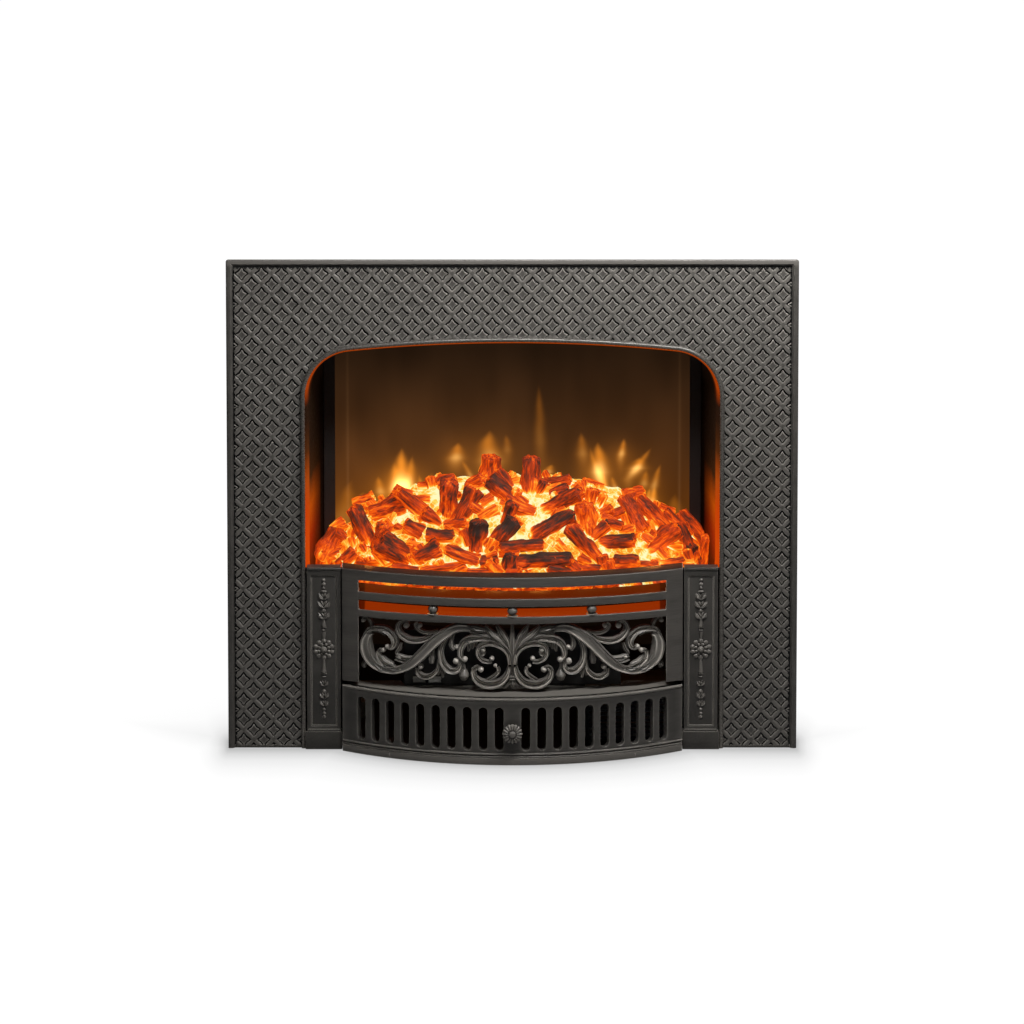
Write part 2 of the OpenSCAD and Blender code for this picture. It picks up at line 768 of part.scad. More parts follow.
module fret_scroll() {
    color([0.27, 0.26, 0.24]) union() {
        both() {
            strand(main_stem);
            strand(ring_top);
            strand(end_curl);
            for (s = upper_curls) strand(s);
            strand(inner_scroll);
            strand(low_scroll);
            for (s = bud_stems) strand(s, 1);
            for (s = shells) strand(s, 1);
            strand(leaf_arc);
            for (s = drop_leaves) strand(s, 1);
            strand(ring_leaf, 1);
            strand(volute_out);
            strand(volute_top);
            strand(volute_in, 1);
            strand(volute_leaf, 1);
            strand(collar, 1);
            strand(collar_low, 1);
            for (s = palmette) strand(s);
            strand(side_fleur, 1);
            for (t = terminals) terminal(t[0], t[1], t[2]);
        }
        strand([[0, -60, 3], [0, -40, 4], [0, -22, 6], [0, -3, 3]]);
        strand([[0, -56, 4], [0, -66, 5.5], [0, -75, 3]], 1);
        bow_turn(bar(scroll_r, scroll_r + scroll_rail_t, scroll_z - scroll_rail_h, scroll_z),
            scroll_r + scroll_rail_t, fret_cy, slot_half - fit);
    }
}

// Ash cover

ledge_back = -controls_y - sheet_t;
// The cover's section: a reeded base, the plain face and a hollow under the top edge
reed_r = cover_r + 1.2;
cover_face = [
    [cover_r - cover_t, cover_lift], [reed_r, cover_lift], [reed_r, 7.6],
    [reed_r - 1, 8.4], [reed_r, 9.4], [reed_r - 1, 10.4], [reed_r, 11.4],
    [cover_r, 12.6], [cover_r, cover_h - 7], [cover_r - 1.6, cover_h - 4.4],
    [cover_r - 0.4, cover_h - 2.6], [cover_r, cover_h - 1], [cover_r - 0.8, cover_h],
    [cover_r - cover_t, cover_h]
];
end_wall_t = 5;
tongue_t = 3;
tongue_z = base_t + 1.6;

// A round-ended slot through the cover's wall at an angle from its middle
module cover_slot(a) {
    translate([0, cover_cy, 0]) rotate([0, 0, a]) translate([0, -cover_r - 5, 0])
        upright(0, cover_t + 10) {
            translate([-slot_w / 2, slot_low + slot_w / 2]) square([slot_w, slot_high - slot_low - slot_w]);
            for (z = [slot_low, slot_high - slot_w])
                translate([0, z + slot_w / 2]) circle(d = slot_w, $fn = 32);
        }
}

// Where the inside of the cover's wall lies at a given x
function cover_inner(x) = cover_cy - sqrt(pow(cover_r - cover_t, 2) - x * x);

module ash_cover() {
    end_back = pil_back - 3;
    color([0.20, 0.19, 0.17]) difference() {
        union() {
            bow_turn(cover_face, reed_r, cover_cy, cover_half);
            intersection() {
                translate([0, cover_cy, cover_h - ledge_t]) cylinder(h = ledge_t, r = cover_r - 4, $fn = 96);
                difference() {
                    block([-cover_half, -200, 0], [cover_half, end_back, cover_h]);
                    block([-controls_half - 2, ledge_back, 0], [controls_half + 2, 0, cover_h + over]);
                }
            }
            both() block([cover_half - end_wall_t, cover_inner(cover_half - end_wall_t) - 2, cover_lift],
                [cover_half, end_back, cover_h]);
            both() block([tongue_x - tongue_w / 2, cover_inner(tongue_x + tongue_w / 2) - 3, tongue_z],
                [tongue_x + tongue_w / 2, cover_inner(tongue_x) + tongue_l, tongue_z + tongue_t]);
        }
        for (side = [-1, 1], k = [0:cover_slots - 1]) cover_slot(side * (slot_first + k * slot_pitch));
        rod_y(0, knob_z, -200, 0, stud_r + 0.2);
    }
}

knob_face_y = cover_cy - cover_r;

module ash_knob() {
    petals = 14;
    color([0.22, 0.21, 0.20]) union() {
        translate([0, knob_face_y, knob_z]) rotate([90, 0, 0]) rotate_extrude($fn = 48)
            polygon([
                [0, 0], [knob_r * 0.55, 0], [knob_r * 0.5, knob_proj * 0.3],
                [knob_r * 0.8, knob_proj * 0.45], [knob_r * 0.84, knob_proj * 0.65],
                [knob_r * 0.5, knob_proj * 0.82], [knob_r * 0.3, knob_proj * 0.8],
                [knob_r * 0.26, knob_proj * 0.95], [knob_r * 0.1, knob_proj], [0, knob_proj]
            ]);
        for (k = [0:petals - 1])
            translate([
                knob_r * 0.82 * cos(360 * (k + 0.5) / petals),
                knob_face_y - knob_proj * 0.56,
                knob_z + knob_r * 0.82 * sin(360 * (k + 0.5) / petals)
            ]) sphere(r = knob_r * 0.18, $fn = 20);
        rod_y(0, knob_z, knob_face_y - over, knob_face_y + cover_t + 5, stud_r);
    }
}

module knob_nut() {
    color([0.6, 0.6, 0.58]) difference() {
        rod_y(0, knob_z, knob_face_y + cover_t + fit / 2, knob_face_y + cover_t + 4, stud_r * 1.8, 6);
        rod_y(0, knob_z, knob_face_y, knob_face_y + cover_t + 6, stud_r + 0.05);
    }
}

// Channels that guide the cover's tongues, open at the front and slotted on top
module cover_runners() {
    half = tongue_w / 2;
    runner_t = 2;
    runner_h = 7;
    floor_z = tongue_z - fit;
    color([0.6, 0.6, 0.6]) both() difference() {
        block([tongue_x - half - runner_t, cover_inner(tongue_x + half + runner_t) + 3, base_t],
            [tongue_x + half + runner_t, -3, base_t + runner_h]);
        block([tongue_x - half - fit, -200, floor_z], [tongue_x + half + fit, 0, tongue_z + tongue_t + fit]);
        block([tongue_x - half + 1.5, -200, floor_z], [tongue_x + half - 1.5, 0, base_t + runner_h + over]);
    }
}

// Firebox body

inner_half = box_half - sheet_t;
back_in = box_d - sheet_t;
cover_lip = 12;
cover_gap = 0.2;

module rear_casing() {
    vents = 9;
    vent_pitch = 40;
    vent_l = 30;
    color([0.10, 0.10, 0.10]) difference() {
        union() {
            block([-box_half, plate_back, 0], [box_half, box_d, box_h]);
            both() block([box_half - over, plate_back, 20],
                [box_half + flange_w, plate_back + sheet_t, box_h - cover_lip]);
        }
        block([-inner_half, plate_back - over, -over], [inner_half, back_in, box_h + over]);
        for (sx = [-1, 1], sz = [-1, 1])
            rod_y(sx * fix_dx / 2, box_h / 2 + sz * fix_dz / 2, back_in - over, box_d + over, fix_r);
        for (row = [0, 1], k = [0:vents - 1])
            block([(k - (vents - 1) / 2) * vent_pitch - vent_l / 2, back_in - over, box_h - 40 - row * 16],
                [(k - (vents - 1) / 2) * vent_pitch + vent_l / 2, box_d + over, box_h - 35 - row * 16]);
        for (p = panel_fixings)
            rod_y(p[0], p[1], plate_back - over, plate_back + sheet_t + over, casing_hole_r);
        rod_y(-inlet_x, inlet_z, back_in - over, box_d + over, inlet_r + 2.2);
    }
}

module top_cover() {
    out = box_half + cover_gap + sheet_t;
    color([0.11, 0.11, 0.11]) difference() {
        union() {
            block([-out, plate_back + sheet_t, box_h - cover_lip],
                [out, box_d + cover_gap + sheet_t, box_h + sheet_t]);
            block([-box_half, plate_back, box_h], [box_half, plate_back + sheet_t, box_h + 14]);
        }
        block([-box_half - cover_gap, plate_back, box_h - cover_lip - over],
            [box_half + cover_gap, box_d + cover_gap, box_h]);
        both()
            rod_y(top_screw_x, top_screw_z, plate_back - over, plate_back + sheet_t + over, casing_hole_r);
    }
}

module base_plate() {
    lug_y = pil_back + 0.2;
    color([0.12, 0.12, 0.12]) union() {
        block([-inner_half + 0.2, lug_y, 0], [inner_half - 0.2, back_in - 0.2, base_t]);
        both() block([inner_half - 1.4, bracket_foot + 1, 0], [inner_half - 0.2, back_in - 0.2, 12]);
        intersection() {
            translate([0, cover_cy, 0]) cylinder(h = base_t, r = cover_r - cover_t - 1.5, $fn = 96);
            block([-cover_half + 7, -200, 0], [cover_half - 7, lug_y + over, base_t]);
        }
    }
}

module casing_screws() {
    side_face = box_half + cover_gap + sheet_t;
    color([0.5, 0.5, 0.5]) {
        for (p = panel_fixings) {
            rod_y(p[0], p[1], plate_back - plate_t * 0.5, plate_back + sheet_t, screw_r);
            rod_y(p[0], p[1], plate_back + sheet_t, plate_back + sheet_t + head_t, casing_head_r);
        }
        both() for (y = [box_d / 4, box_d * 3 / 4])
            rod_x(y, box_h - cover_lip / 2, side_face, side_face + head_t, casing_head_r);
    }
}

// Front brackets: upright sheets that carry the fret and the pilasters
module bracket() {
    color([0.13, 0.13, 0.13]) difference() {
        union() {
            block([bracket_in, -bracket_t, base_t], [inner_half - 0.3, 0, pilaster_h - 4]);
            block([bracket_in, -bracket_t, base_t], [inner_half - 0.3, bracket_foot, base_t + 2]);
        }
        for (z = lug_rows) rod_y(lug_x, z, -bracket_t - over, over, bracket_hole_r);
        for (z = post_screw_rows) rod_y(post_screw_x, z, -bracket_t - over, over, bracket_hole_r);
    }
}

module bracket_left() {
    mirror([1, 0, 0]) bracket();
}

module bracket_right() {
    bracket();
}

// Splayed cheek, in plan: a flange at each end reaches the side wall
cheek_front = opening_half - reveal_splay;
cheek_back = screen_half + post_w + 1;
cheek_y0 = reveal_d + 1;
cheek_y1 = screen_y - 4;
wall_x = inner_half - 0.2;

module cheek() {
    t = sheet_t;
    color([0.09, 0.09, 0.09]) translate([0, 0, tray_z]) linear_extrude(box_h - tray_z - 6) polygon([
        [cheek_front, cheek_y0], [wall_x, cheek_y0], [wall_x, cheek_y0 + t], [cheek_front + t, cheek_y0 + t],
        [cheek_back + t, cheek_y1 - t], [wall_x, cheek_y1 - t], [wall_x, cheek_y1], [cheek_back, cheek_y1]
    ]);
}

module cheek_left() {
    mirror([1, 0, 0]) cheek();
}

module cheek_right() {
    cheek();
}

// Screen and its posts
post_front = screen_y - 3;
post_back = screen_y + screen_t + 2;
screen_low = tray_z;
screen_high = box_h - 4;
groove_d = 6;
screen_slack = 0.2;
screen_edge = screen_half + groove_d - fit;

module screen_post() {
    color([0.10, 0.11, 0.11]) difference() {
        block([screen_half, post_front, screen_low], [screen_half + post_w, post_back, screen_high]);
        block([screen_half - over, screen_y - screen_slack, screen_low - over],
            [screen_half + groove_d, screen_y + screen_t + screen_slack, screen_high + over]);
    }
    color([0.10, 0.11, 0.11])
        block([screen_half + post_w, post_back - sheet_t, screen_low], [wall_x, post_back, screen_high]);
}

module screen_post_left() {
    mirror([1, 0, 0]) screen_post();
}

module screen_post_right() {
    screen_post();
}

module flame_screen() {
    color([0.45, 0.25, 0.10])
        block([-screen_edge, screen_y, screen_low], [screen_edge, screen_y + screen_t, screen_high]);
}

// A sheet with leaf-shaped openings that shape the light into flames
module flame_mask() {
    flames = 7;
    flame_pitch = 50;
    arc_r = 75;
    arc_x = 60;
    mask_half = screen_half + 8;
    color([0.5, 0.5, 0.5]) upright(post_back, 0.8) difference() {
        translate([-mask_half, tray_top + 10]) square([2 * mask_half, box_h - tray_top - 74]);
        for (k = [0:flames - 1])
            translate([(k - (flames - 1) / 2) * flame_pitch, tray_top + arc_r + (k % 2) * 20])
                intersection() {
                    translate([-arc_x, 0]) circle(r = arc_r, $fn = 64);
                    translate([arc_x, 0]) circle(r = arc_r, $fn = 64);
                }
    }
}

// Ember bed and its tray

// The tray's plan: bowed front, straight sides and back, shrunk by d
module tray_plan(d) {
    intersection() {
        translate([0, fret_cy]) circle(r = tray_r - d, $fn = 96);
        translate([-tray_half + d, -200]) square([2 * (tray_half - d), 200 + tray_back - d]);
    }
}

module ember_tray() {
    color([0.55, 0.28, 0.10]) difference() {
        translate([0, 0, tray_z]) linear_extrude(tray_top - tray_z) tray_plan(0);
        translate([0, 0, tray_z + tray_t]) linear_extrude(tray_top) tray_plan(tray_t);
    }
}

module tray_supports() {
    support_in = 12;
    support_l = 40;
    foot_w = 14;
    x = tray_half - support_in;
    y1 = tray_back - 1.5 * support_in;
    y0 = y1 - support_l;
    color([0.6, 0.6, 0.6]) both() union() {
        block([x, y0, base_t], [x + tray_t, y1, tray_z]);
        block([x, y0, base_t], [x + foot_w, y1, base_t + tray_t]);
        block([x - support_in, y0, tray_z - tray_t], [x + tray_t, y1, tray_z]);
    }
}

// The mound's height over the tray's rim, at a share across (-1 to 1) and a share back (0 to 1)
function mound(u, v) = mound_h * (1 - 0.72 * pow(abs(u), 2.6)) * (0.16 + 0.84 * sin(min(v * 130, 90)));

mound_half = tray_half + 6;
function tray_front(x) = fret_cy - sqrt(pow(tray_r - 1, 2) - x * x);

// A point on the mound, sunk by d
function on_mound(u, v, d = 0) =
    let (x = u * mound_half, y0 = tray_front(x), y1 = tray_back - 6)
    [x, y0 + v * (y1 - y0), tray_top + max(mound(u, v) - d, 2)];

// One charred chunk: an uneven six-sided prism
module coal(length, r, seed) {
    skew = rands(0.72, 1.15, 14, seed);
    ends = [for (e = [0, 1], k = [0:5]) [
        (e - 0.5) * length * (0.85 + 0.25 * skew[k + 6 * e]),
        r * skew[k] * cos(60 * k),
        r * skew[k + 6 * e] * sin(60 * k)
    ]];
    hull() polyhedron(ends, [
        [0, 1, 2, 3, 4, 5], [11, 10, 9, 8, 7, 6],
        for (k = [0:5]) [k, k + 6, (k + 1) % 6 + 6, (k + 1) % 6]
    ]);
}

coal_rows = [[0.06, 9, 0.98], [0.3, 8, 0.95], [0.52, 8, 0.86], [0.74, 7, 0.72]];

module coals() {
    for (row = [0:len(coal_rows) - 1]) {
        count = coal_rows[row][1];
        wobble = rands(-1, 1, count * 4, 30 + row);
        for (k = [0:count - 1]) {
            u = ((k + 0.5) / count * 2 - 1) * coal_rows[row][2] * 0.95;
            translate(on_mound(u, coal_rows[row][0] + 0.03 * wobble[4 * k], coal_r * 0.45))
                rotate([25 * wobble[4 * k + 1], 20 + 30 * wobble[4 * k + 2], 90 * wobble[4 * k + 3]])
                    coal(coal_l * (0.8 + 0.2 * wobble[4 * k]), coal_r, 10 * row + k);
        }
    }
}

// The mound as a closed net of points, sunk and shrunk by d
module mound_solid(d) {
    steps = 14;
    cuts = [0, 0.12, 0.35, 0.6, 0.8, 1];
    n = len(cuts);
    top = [
        for (i = [0:steps], v = cuts)
            on_mound((2 * i / steps - 1) * (1 - d / mound_half), d / 90 + v * (1 - d / 45), d + 3)
    ];
    foot = [for (p = top) [p[0], p[1], tray_top - over - d]];
    base = len(top);
    net = [
        for (i = [0:steps - 1], j = [0:n - 2])
            let (k = i * n + j)
            each [[k, k + 1, k + n + 1], [k, k + n + 1, k + n]]
    ];
    under = [for (f = net) [for (k = [2:-1:0]) f[k] + base]];
    rims = [
        for (i = [0:steps - 1])
            each [
                [i * n, (i + 1) * n, (i + 1) * n + base, i * n + base],
                [(i + 1) * n - 1, (i + 1) * n - 1 + base, (i + 2) * n - 1 + base, (i + 2) * n - 1]
            ],
        for (j = [0:n - 2])
            each [
                [j, j + base, j + 1 + base, j + 1],
                [steps * n + j, steps * n + j + 1, steps * n + j + 1 + base, steps * n + j + base]
            ]
    ];
    polyhedron(concat(top, foot), concat(net, under, rims), convexity = 8);
}

// The room between the cheeks and behind the fret's shelves, in plan
bed_slack = 1.5;
module bed_room() {
    intersection() {
        polygon([
            [cheek_front - bed_slack, -low_shelf_d], [cheek_front - bed_slack, cheek_y0],
            [cheek_back - bed_slack, tray_back + 3], [bed_slack - cheek_back, tray_back + 3],
            [bed_slack - cheek_front, cheek_y0], [bed_slack - cheek_front, -low_shelf_d]
        ]);
        translate([0, fret_cy]) circle(r = tray_r + bed_slack, $fn = 96);
    }
}

module ember_bed() {
    color([0.75, 0.22, 0.05]) difference() {
        intersection() {
            union() {
                mound_solid(0);
                coals();
            }
            translate([0, 0, tray_top]) linear_extrude(mound_h + 60) bed_room();
        }
        mound_solid(mound_wall);
    }
}

// Lights under the embers
led_lift = 8;
led_z = tray_z + tray_t + led_lift;
led_cols = 8;
led_half = tray_half - 34;
led_board_d = 52;
led_y1 = tray_back - 16;
led_y0 = led_y1 - led_board_d;
board_t = 1.6;
pillar_in = 8;

module led_board() {
    color([0.08, 0.3, 0.15]) union() {
        block([-led_half, led_y0, led_z], [led_half, led_y1, led_z + board_t]);
        for (k = [-1, 0, 1], y = [led_y0 + pillar_in, led_y1 - pillar_in])
            translate([k * (led_half - 2 * pillar_in), y, tray_z + tray_t])
                cylinder(h = led_lift + 0.5, r = 3, $fn = 32);
    }
}

module led_domes() {
    dome_r = 2.4;
    pitch = 2 * led_half / (led_cols + 0.1);
    color([1, 0.8, 0.5]) for (i = [0:led_cols - 1], y = [led_y0 + 14, led_y1 - 16])
        translate([(i - (led_cols - 1) / 2) * pitch, y, led_z + board_t]) union() {
            cylinder(h = dome_r + 0.2, r = dome_r + 0.1, $fn = 32);
            translate([0, 0, dome_r + 0.1]) sphere(r = dome_r, $fn = 32);
        }
}

// Flicker rod: cradle, bush, motor, spindle and foils
cradle_x = 192;
cradle_z = rotor_z - foil_r - 14;
cradle_t = 1.5;
bush_r = 5;
bush_flange_r = 7;
foil_pitch = 40;

module rotor_cradle() {
    y0 = post_back + 3;
    y1 = back_in - 0.2;
    out = cradle_x + cradle_t;
    color([0.6, 0.6, 0.6]) difference() {
        union() {
            block([-out, y0, cradle_z], [out, y1, cradle_z + cradle_t]);
            block([-out, y1 - cradle_t, cradle_z], [out, y1, cradle_z + 14]);
            both() block([cradle_x, y0, cradle_z], [out, y1, rotor_z + 12]);
        }
        both() rod_x(rotor_y, rotor_z, cradle_x - over, out + over, bush_r + run_fit);
    }
}

module rotor_bush() {
    mid = cradle_x + cradle_t / 2;
    flange_x = cradle_x - 0.1;
    color([0.75, 0.6, 0.3]) both() difference() {
        union() {
            rod_x(rotor_y, rotor_z, mid - 3, mid + 3, bush_r);
            rod_x(rotor_y, rotor_z, flange_x - 2, flange_x, bush_flange_r);
        }
        rod_x(rotor_y, rotor_z, mid - 8, mid + 8, spindle_r + run_fit);
    }
}

module rotor_motor() {
    motor_r = 15;
    motor_l = 21.3;
    out = cradle_x + cradle_t;
    face = out + 2.7;
    color([0.5, 0.5, 0.52]) difference() {
        union() {
            rod_x(rotor_y, rotor_z, -face - motor_l, -face, motor_r);
            for (dz = [-11, 6])
                block([-face - 0.2, rotor_y - 4, rotor_z + dz], [-out, rotor_y + 4, rotor_z + dz + 5]);
        }
        rod_x(rotor_y, rotor_z, -cradle_x - 14, -cradle_x - 4, spindle_r + run_fit);
    }
}

module rotor_spindle() {
    color([0.7, 0.7, 0.7]) rod_x(rotor_y, rotor_z, -cradle_x - 13, cradle_x + 5, spindle_r);
}

module rotor_foils() {
    rows = 9;
    blades = 4;
    foil_l = 28;
    foil_t = 0.6;
    color([0.8, 0.8, 0.82]) difference() {
        union() {
            rod_x(rotor_y, rotor_z, -cradle_x + 8, cradle_x - 8, spindle_r + 1.2);
            for (i = [0:rows - 1], k = [0:blades - 1])
                translate([(i - (rows - 1) / 2) * foil_pitch, rotor_y, rotor_z])
                    rotate([360 * k / blades + 22 * i, 0, 0])
                        block([-foil_l / 2, -foil_t / 2, spindle_r], [foil_l / 2, foil_t / 2, foil_r]);
        }
        rod_x(rotor_y, rotor_z, -cradle_x, cradle_x, spindle_r + run_fit / 2);
    }
}

module flame_led_strip() {
    half = cradle_x - 12;
    low = cradle_z + cradle_t;
    color([0.1, 0.35, 0.2]) union() {
        block([-half, rotor_y - 6, low], [half, rotor_y + 6, low + board_t]);
        for (k = [-4:4])
            translate([k * foil_pitch, rotor_y, low + board_t - 0.1]) cylinder(h = 1.6, r = 2.5, $fn = 32);
    }
}

// Fan heater behind the right-hand slots
duct_y = -12;
duct_z = base_t + 8;
duct_end = bracket_in - 1;
duct_x = duct_end - duct_w;
wheel_y = duct_y + duct_l - wheel_r - 6;
wheel_z = duct_z + duct_h / 2;
wall = 1;
axle_r = 2;
hub_r = 4;

module heater_housing() {
    color([0.55, 0.55, 0.55]) difference() {
        union() {
            block([duct_x, duct_y, duct_z], [duct_end, duct_y + duct_l, duct_z + duct_h]);
            for (x = [duct_x + 4, duct_end - 12], y = [duct_y + 14, duct_y + duct_l - 16])
                block([x, y, base_t], [x + 8, y + 8, duct_z + 0.5]);
        }
        block([duct_x + wall, duct_y - over, duct_z + wall],
            [duct_end - wall, duct_y + duct_l - wall, duct_z + duct_h - wall]);
        block([duct_x + 10, duct_y + duct_l - 3, duct_z + 8],
            [duct_end - 10, duct_y + duct_l + over, duct_z + duct_h - 8]);
        rod_x(wheel_y, wheel_z, duct_x - over, duct_end + over, hub_r + run_fit);
    }
}

module heater_grille() {
    gaps = 7;
    gap_h = 4;
    margin = 4;
    pitch = (duct_h - 6) / gaps;
    color([0.25, 0.25, 0.25]) difference() {
        block([duct_x, duct_y - 1.4, duct_z], [duct_end, duct_y, duct_z + duct_h]);
        for (k = [0:gaps - 1])
            block([duct_x + margin, duct_y - 3, duct_z + margin + k * pitch],
                [duct_end - margin, duct_y + over, duct_z + margin + k * pitch + gap_h]);
    }
}

// Five wires run between two insulating end plates
module heating_element() {
    wires = 5;
    wire_r = 1.2;
    color([0.75, 0.45, 0.3]) union() {
        for (x = [duct_x + wall, duct_end - wall - 2])
            block([x, duct_y + 8, duct_z + wall], [x + 2, duct_y + 24, duct_z + duct_h - wall]);
        for (k = [0:wires - 1])
            rod_x(duct_y + 16, duct_z + duct_h * (k + 0.5) / wires,
                duct_x + wall + 1, duct_end - wall - 1, wire_r, 16);
    }
}

module blower_bushes() {
    mid_x = (duct_x + duct_end) / 2;
    flange_t = 1.5;
    color([0.75, 0.6, 0.3]) translate([mid_x, 0, 0]) both() difference() {
        union() {
            rod_x(wheel_y, wheel_z, duct_w / 2 - wall, duct_w / 2, hub_r);
            rod_x(wheel_y, wheel_z, duct_w / 2 - wall - flange_t, duct_w / 2 - wall, hub_r + 2);
        }
        rod_x(wheel_y, wheel_z, duct_w / 2 - 4, duct_w / 2 + 3, axle_r + run_fit);
    }
}

module blower_wheel() {
    x0 = duct_x + 6;
    x1 = duct_end - 6;
    color([0.7, 0.72, 0.75]) union() {
        rod_x(wheel_y, wheel_z, duct_x - 2, duct_end + 12, axle_r);
        for (x = [x0, x1 - 1.5]) rod_x(wheel_y, wheel_z, x, x + 1.5, wheel_r, 64);
        for (k = [0:wheel_blades - 1])
            translate([x0 + 1, wheel_y, wheel_z]) rotate([360 * k / wheel_blades, 0, 0])
                translate([0, -0.4, wheel_r - 6]) rotate([20, 0, 0]) cube([x1 - x0 - 2, 0.8, 5]);
    }
}

module blower_motor() {
    color([0.35, 0.35, 0.38]) difference() {
        union() {
            rod_x(wheel_y, wheel_z, duct_end + 2, duct_end + 18, 15);
            for (dz = [-13, 9])
                block([duct_end, wheel_y - 12, wheel_z + dz], [duct_end + 3, wheel_y + 12, wheel_z + dz + 4]);
        }
        rod_x(wheel_y, wheel_z, duct_end - over, duct_end + 13, axle_r + run_fit);
    }
}

module thermal_cutout() {
    color([0.85, 0.8, 0.7]) translate([duct_x + 20, duct_y + 30, duct_z + duct_h]) union() {
        cylinder(h = 5, r = 7, $fn = 32);
        for (x = [-5, 3]) translate([x, -1.5, 4.5]) cube([2, 3, 4]);
    }
}

// Controls
controls_top = tray_z + 26;
controls_low = cover_h + 1;
pivot_y = -controls_y + 2.6;
rocker_z = controls_low + 5.5;
pivot_r = 1;
rocker_gap = 0.6;
rocker_web = 2;
rocker_places = [-rocker_x - rocker_w / 2 - rocker_web, -rocker_x + rocker_w / 2 + rocker_web];

module control_panel() {
    color([0.09, 0.09, 0.09]) difference() {
        union() {
            block([-controls_half, -controls_y, controls_low],
                [controls_half, -controls_y + sheet_t, controls_top]);
            difference() {
                block([-controls_half, -controls_y, controls_top - sheet_t],
                    [controls_half, 20, controls_top]);
                translate([0, fret_cy, 0]) cylinder(h = 300, r = tray_r + fit, $fn = 96);
            }
        }
        for (x = rocker_places)
            block([x - rocker_w / 2 - rocker_gap, -controls_y - over, rocker_z - rocker_h / 2 - rocker_gap],
                [x + rocker_w / 2 + rocker_gap, -controls_y + 3, rocker_z + rocker_h / 2 + rocker_gap]);
    }
}

// The rockers' shared housing: side walls with the pivot holes, and a back
module switch_housing() {
    y0 = -controls_y + sheet_t;
    w = rocker_w / 2 + rocker_gap;
    color([0.16, 0.16, 0.16]) difference() {
        block([rocker_places[0] - w - 1.4, y0, rocker_z - rocker_h / 2 - 1.5],
            [rocker_places[1] + w + 1.4, y0 + 9, rocker_z + rocker_h / 2 + 1.5]);
        for (x = rocker_places)
            block([x - w, y0 - over, rocker_z - rocker_h / 2 - rocker_gap],
                [x + w, y0 + 7, rocker_z + rocker_h / 2 + rocker_gap]);
        for (x = rocker_places)
            rod_x(pivot_y, rocker_z, x - w - 1.2, x + w + 1.2, pivot_r + run_fit);
    }
}

// A rocker lies with its top pressed in; its pivot pins reach into the housing's walls
module rocker(x) {
    h = rocker_h / 2;
    color([0.3, 0.3, 0.3]) translate([x, pivot_y, rocker_z]) rotate([-rocker_tilt, 0, 0]) union() {
        translate([-rocker_w / 2, 0, 0]) rotate([90, 0, 90]) linear_extrude(rocker_w)
            polygon([[-3.6, -h + 0.7], [-2.8, 0], [-3.6, h - 0.7], [1.6, h * 0.6], [1.6, -h * 0.6]]);
        rod_x(0, 0, -rocker_w / 2 - rocker_gap - 1, rocker_w / 2 + rocker_gap + 1, pivot_r);
    }
}

module rocker_light() {
    rocker(rocker_places[0]);
}

module rocker_heat() {
    rocker(rocker_places[1]);
}

// Board on four pillars behind the control panel
module circuit_board() {
    y0 = -controls_y + sheet_t;
    color([0.08, 0.35, 0.2]) union() {
        block([-60, y0 + 5, controls_low + 5], [60, y0 + 6.6, tray_z - 3]);
        for (x = [-54, 54], z = [controls_low + 9, tray_z - 7]) rod_y(x, z, y0, y0 + 5.5, 2.5);
        block([-48, y0 + 6, controls_low + 8], [-30, y0 + 14, controls_low + 24]);
        block([-20, y0 + 6, controls_low + 10], [4, y0 + 13, controls_low + 22]);
        for (x = [20, 32, 44]) rod_y(x, controls_low + 16, y0 + 6, y0 + 14, 4);
    }
}

// Supply side
inlet_x = 188;
inlet_z = 32;
inlet_r = 4.2;
terminal_y = box_d - 48;

module cable_grommet() {
    color([0.06, 0.06, 0.06]) translate([-inlet_x, box_d, inlet_z]) rotate([90, 0, 0])
        rotate_extrude($fn = 48) polygon([
            [inlet_r, -3], [inlet_r + 4.2, -3], [inlet_r + 4.2, -0.1], [inlet_r + 2, -0.1],
            [inlet_r + 2, sheet_t + 0.1], [inlet_r + 4.2, sheet_t + 0.1], [inlet_r + 4.2, 4], [inlet_r, 4]
        ]);
}

module terminal_block() {
    color([0.9, 0.88, 0.8]) difference() {
        block([-inlet_x - 2, terminal_y - 8, base_t], [-inlet_x + 34, terminal_y + 8, base_t + 18]);
        for (k = [0:2])
            translate([-inlet_x + 5 + k * 11, terminal_y, base_t + 8]) cylinder(h = 20, r = 3, $fn = 32);
    }
}

front_panel();
lattice_relief();
outer_rim();
arch_bead();
arch_reveal();
pilaster_left();
pilaster_right();
garland_left();
garland_right();
fret_frame();
fret_scroll();
fret_balls();
bracket_screws();
rear_casing();
top_cover();
base_plate();
casing_screws();
bracket_left();
bracket_right();
cheek_left();
cheek_right();
screen_post_left();
screen_post_right();
flame_screen();
flame_mask();
ember_tray();
ember_bed();
tray_supports();
led_board();
led_domes();
rotor_cradle();
rotor_bush();
rotor_motor();
flame_led_strip();
heater_housing();
heater_grille();
heating_element();
blower_motor();
blower_bushes();
thermal_cutout();
control_panel();
switch_housing();
circuit_board();
terminal_block();
cable_grommet();
cover_runners();
ash_cover();
ash_knob();
knob_nut();
rocker_light();
rocker_heat();
rotor_spindle();
rotor_foils();
blower_wheel();
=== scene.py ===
"""Looks of the electric fireplace insert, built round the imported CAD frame."""

import math

import bmesh
import bpy
import numpy as np
from mathutils import Matrix, Vector


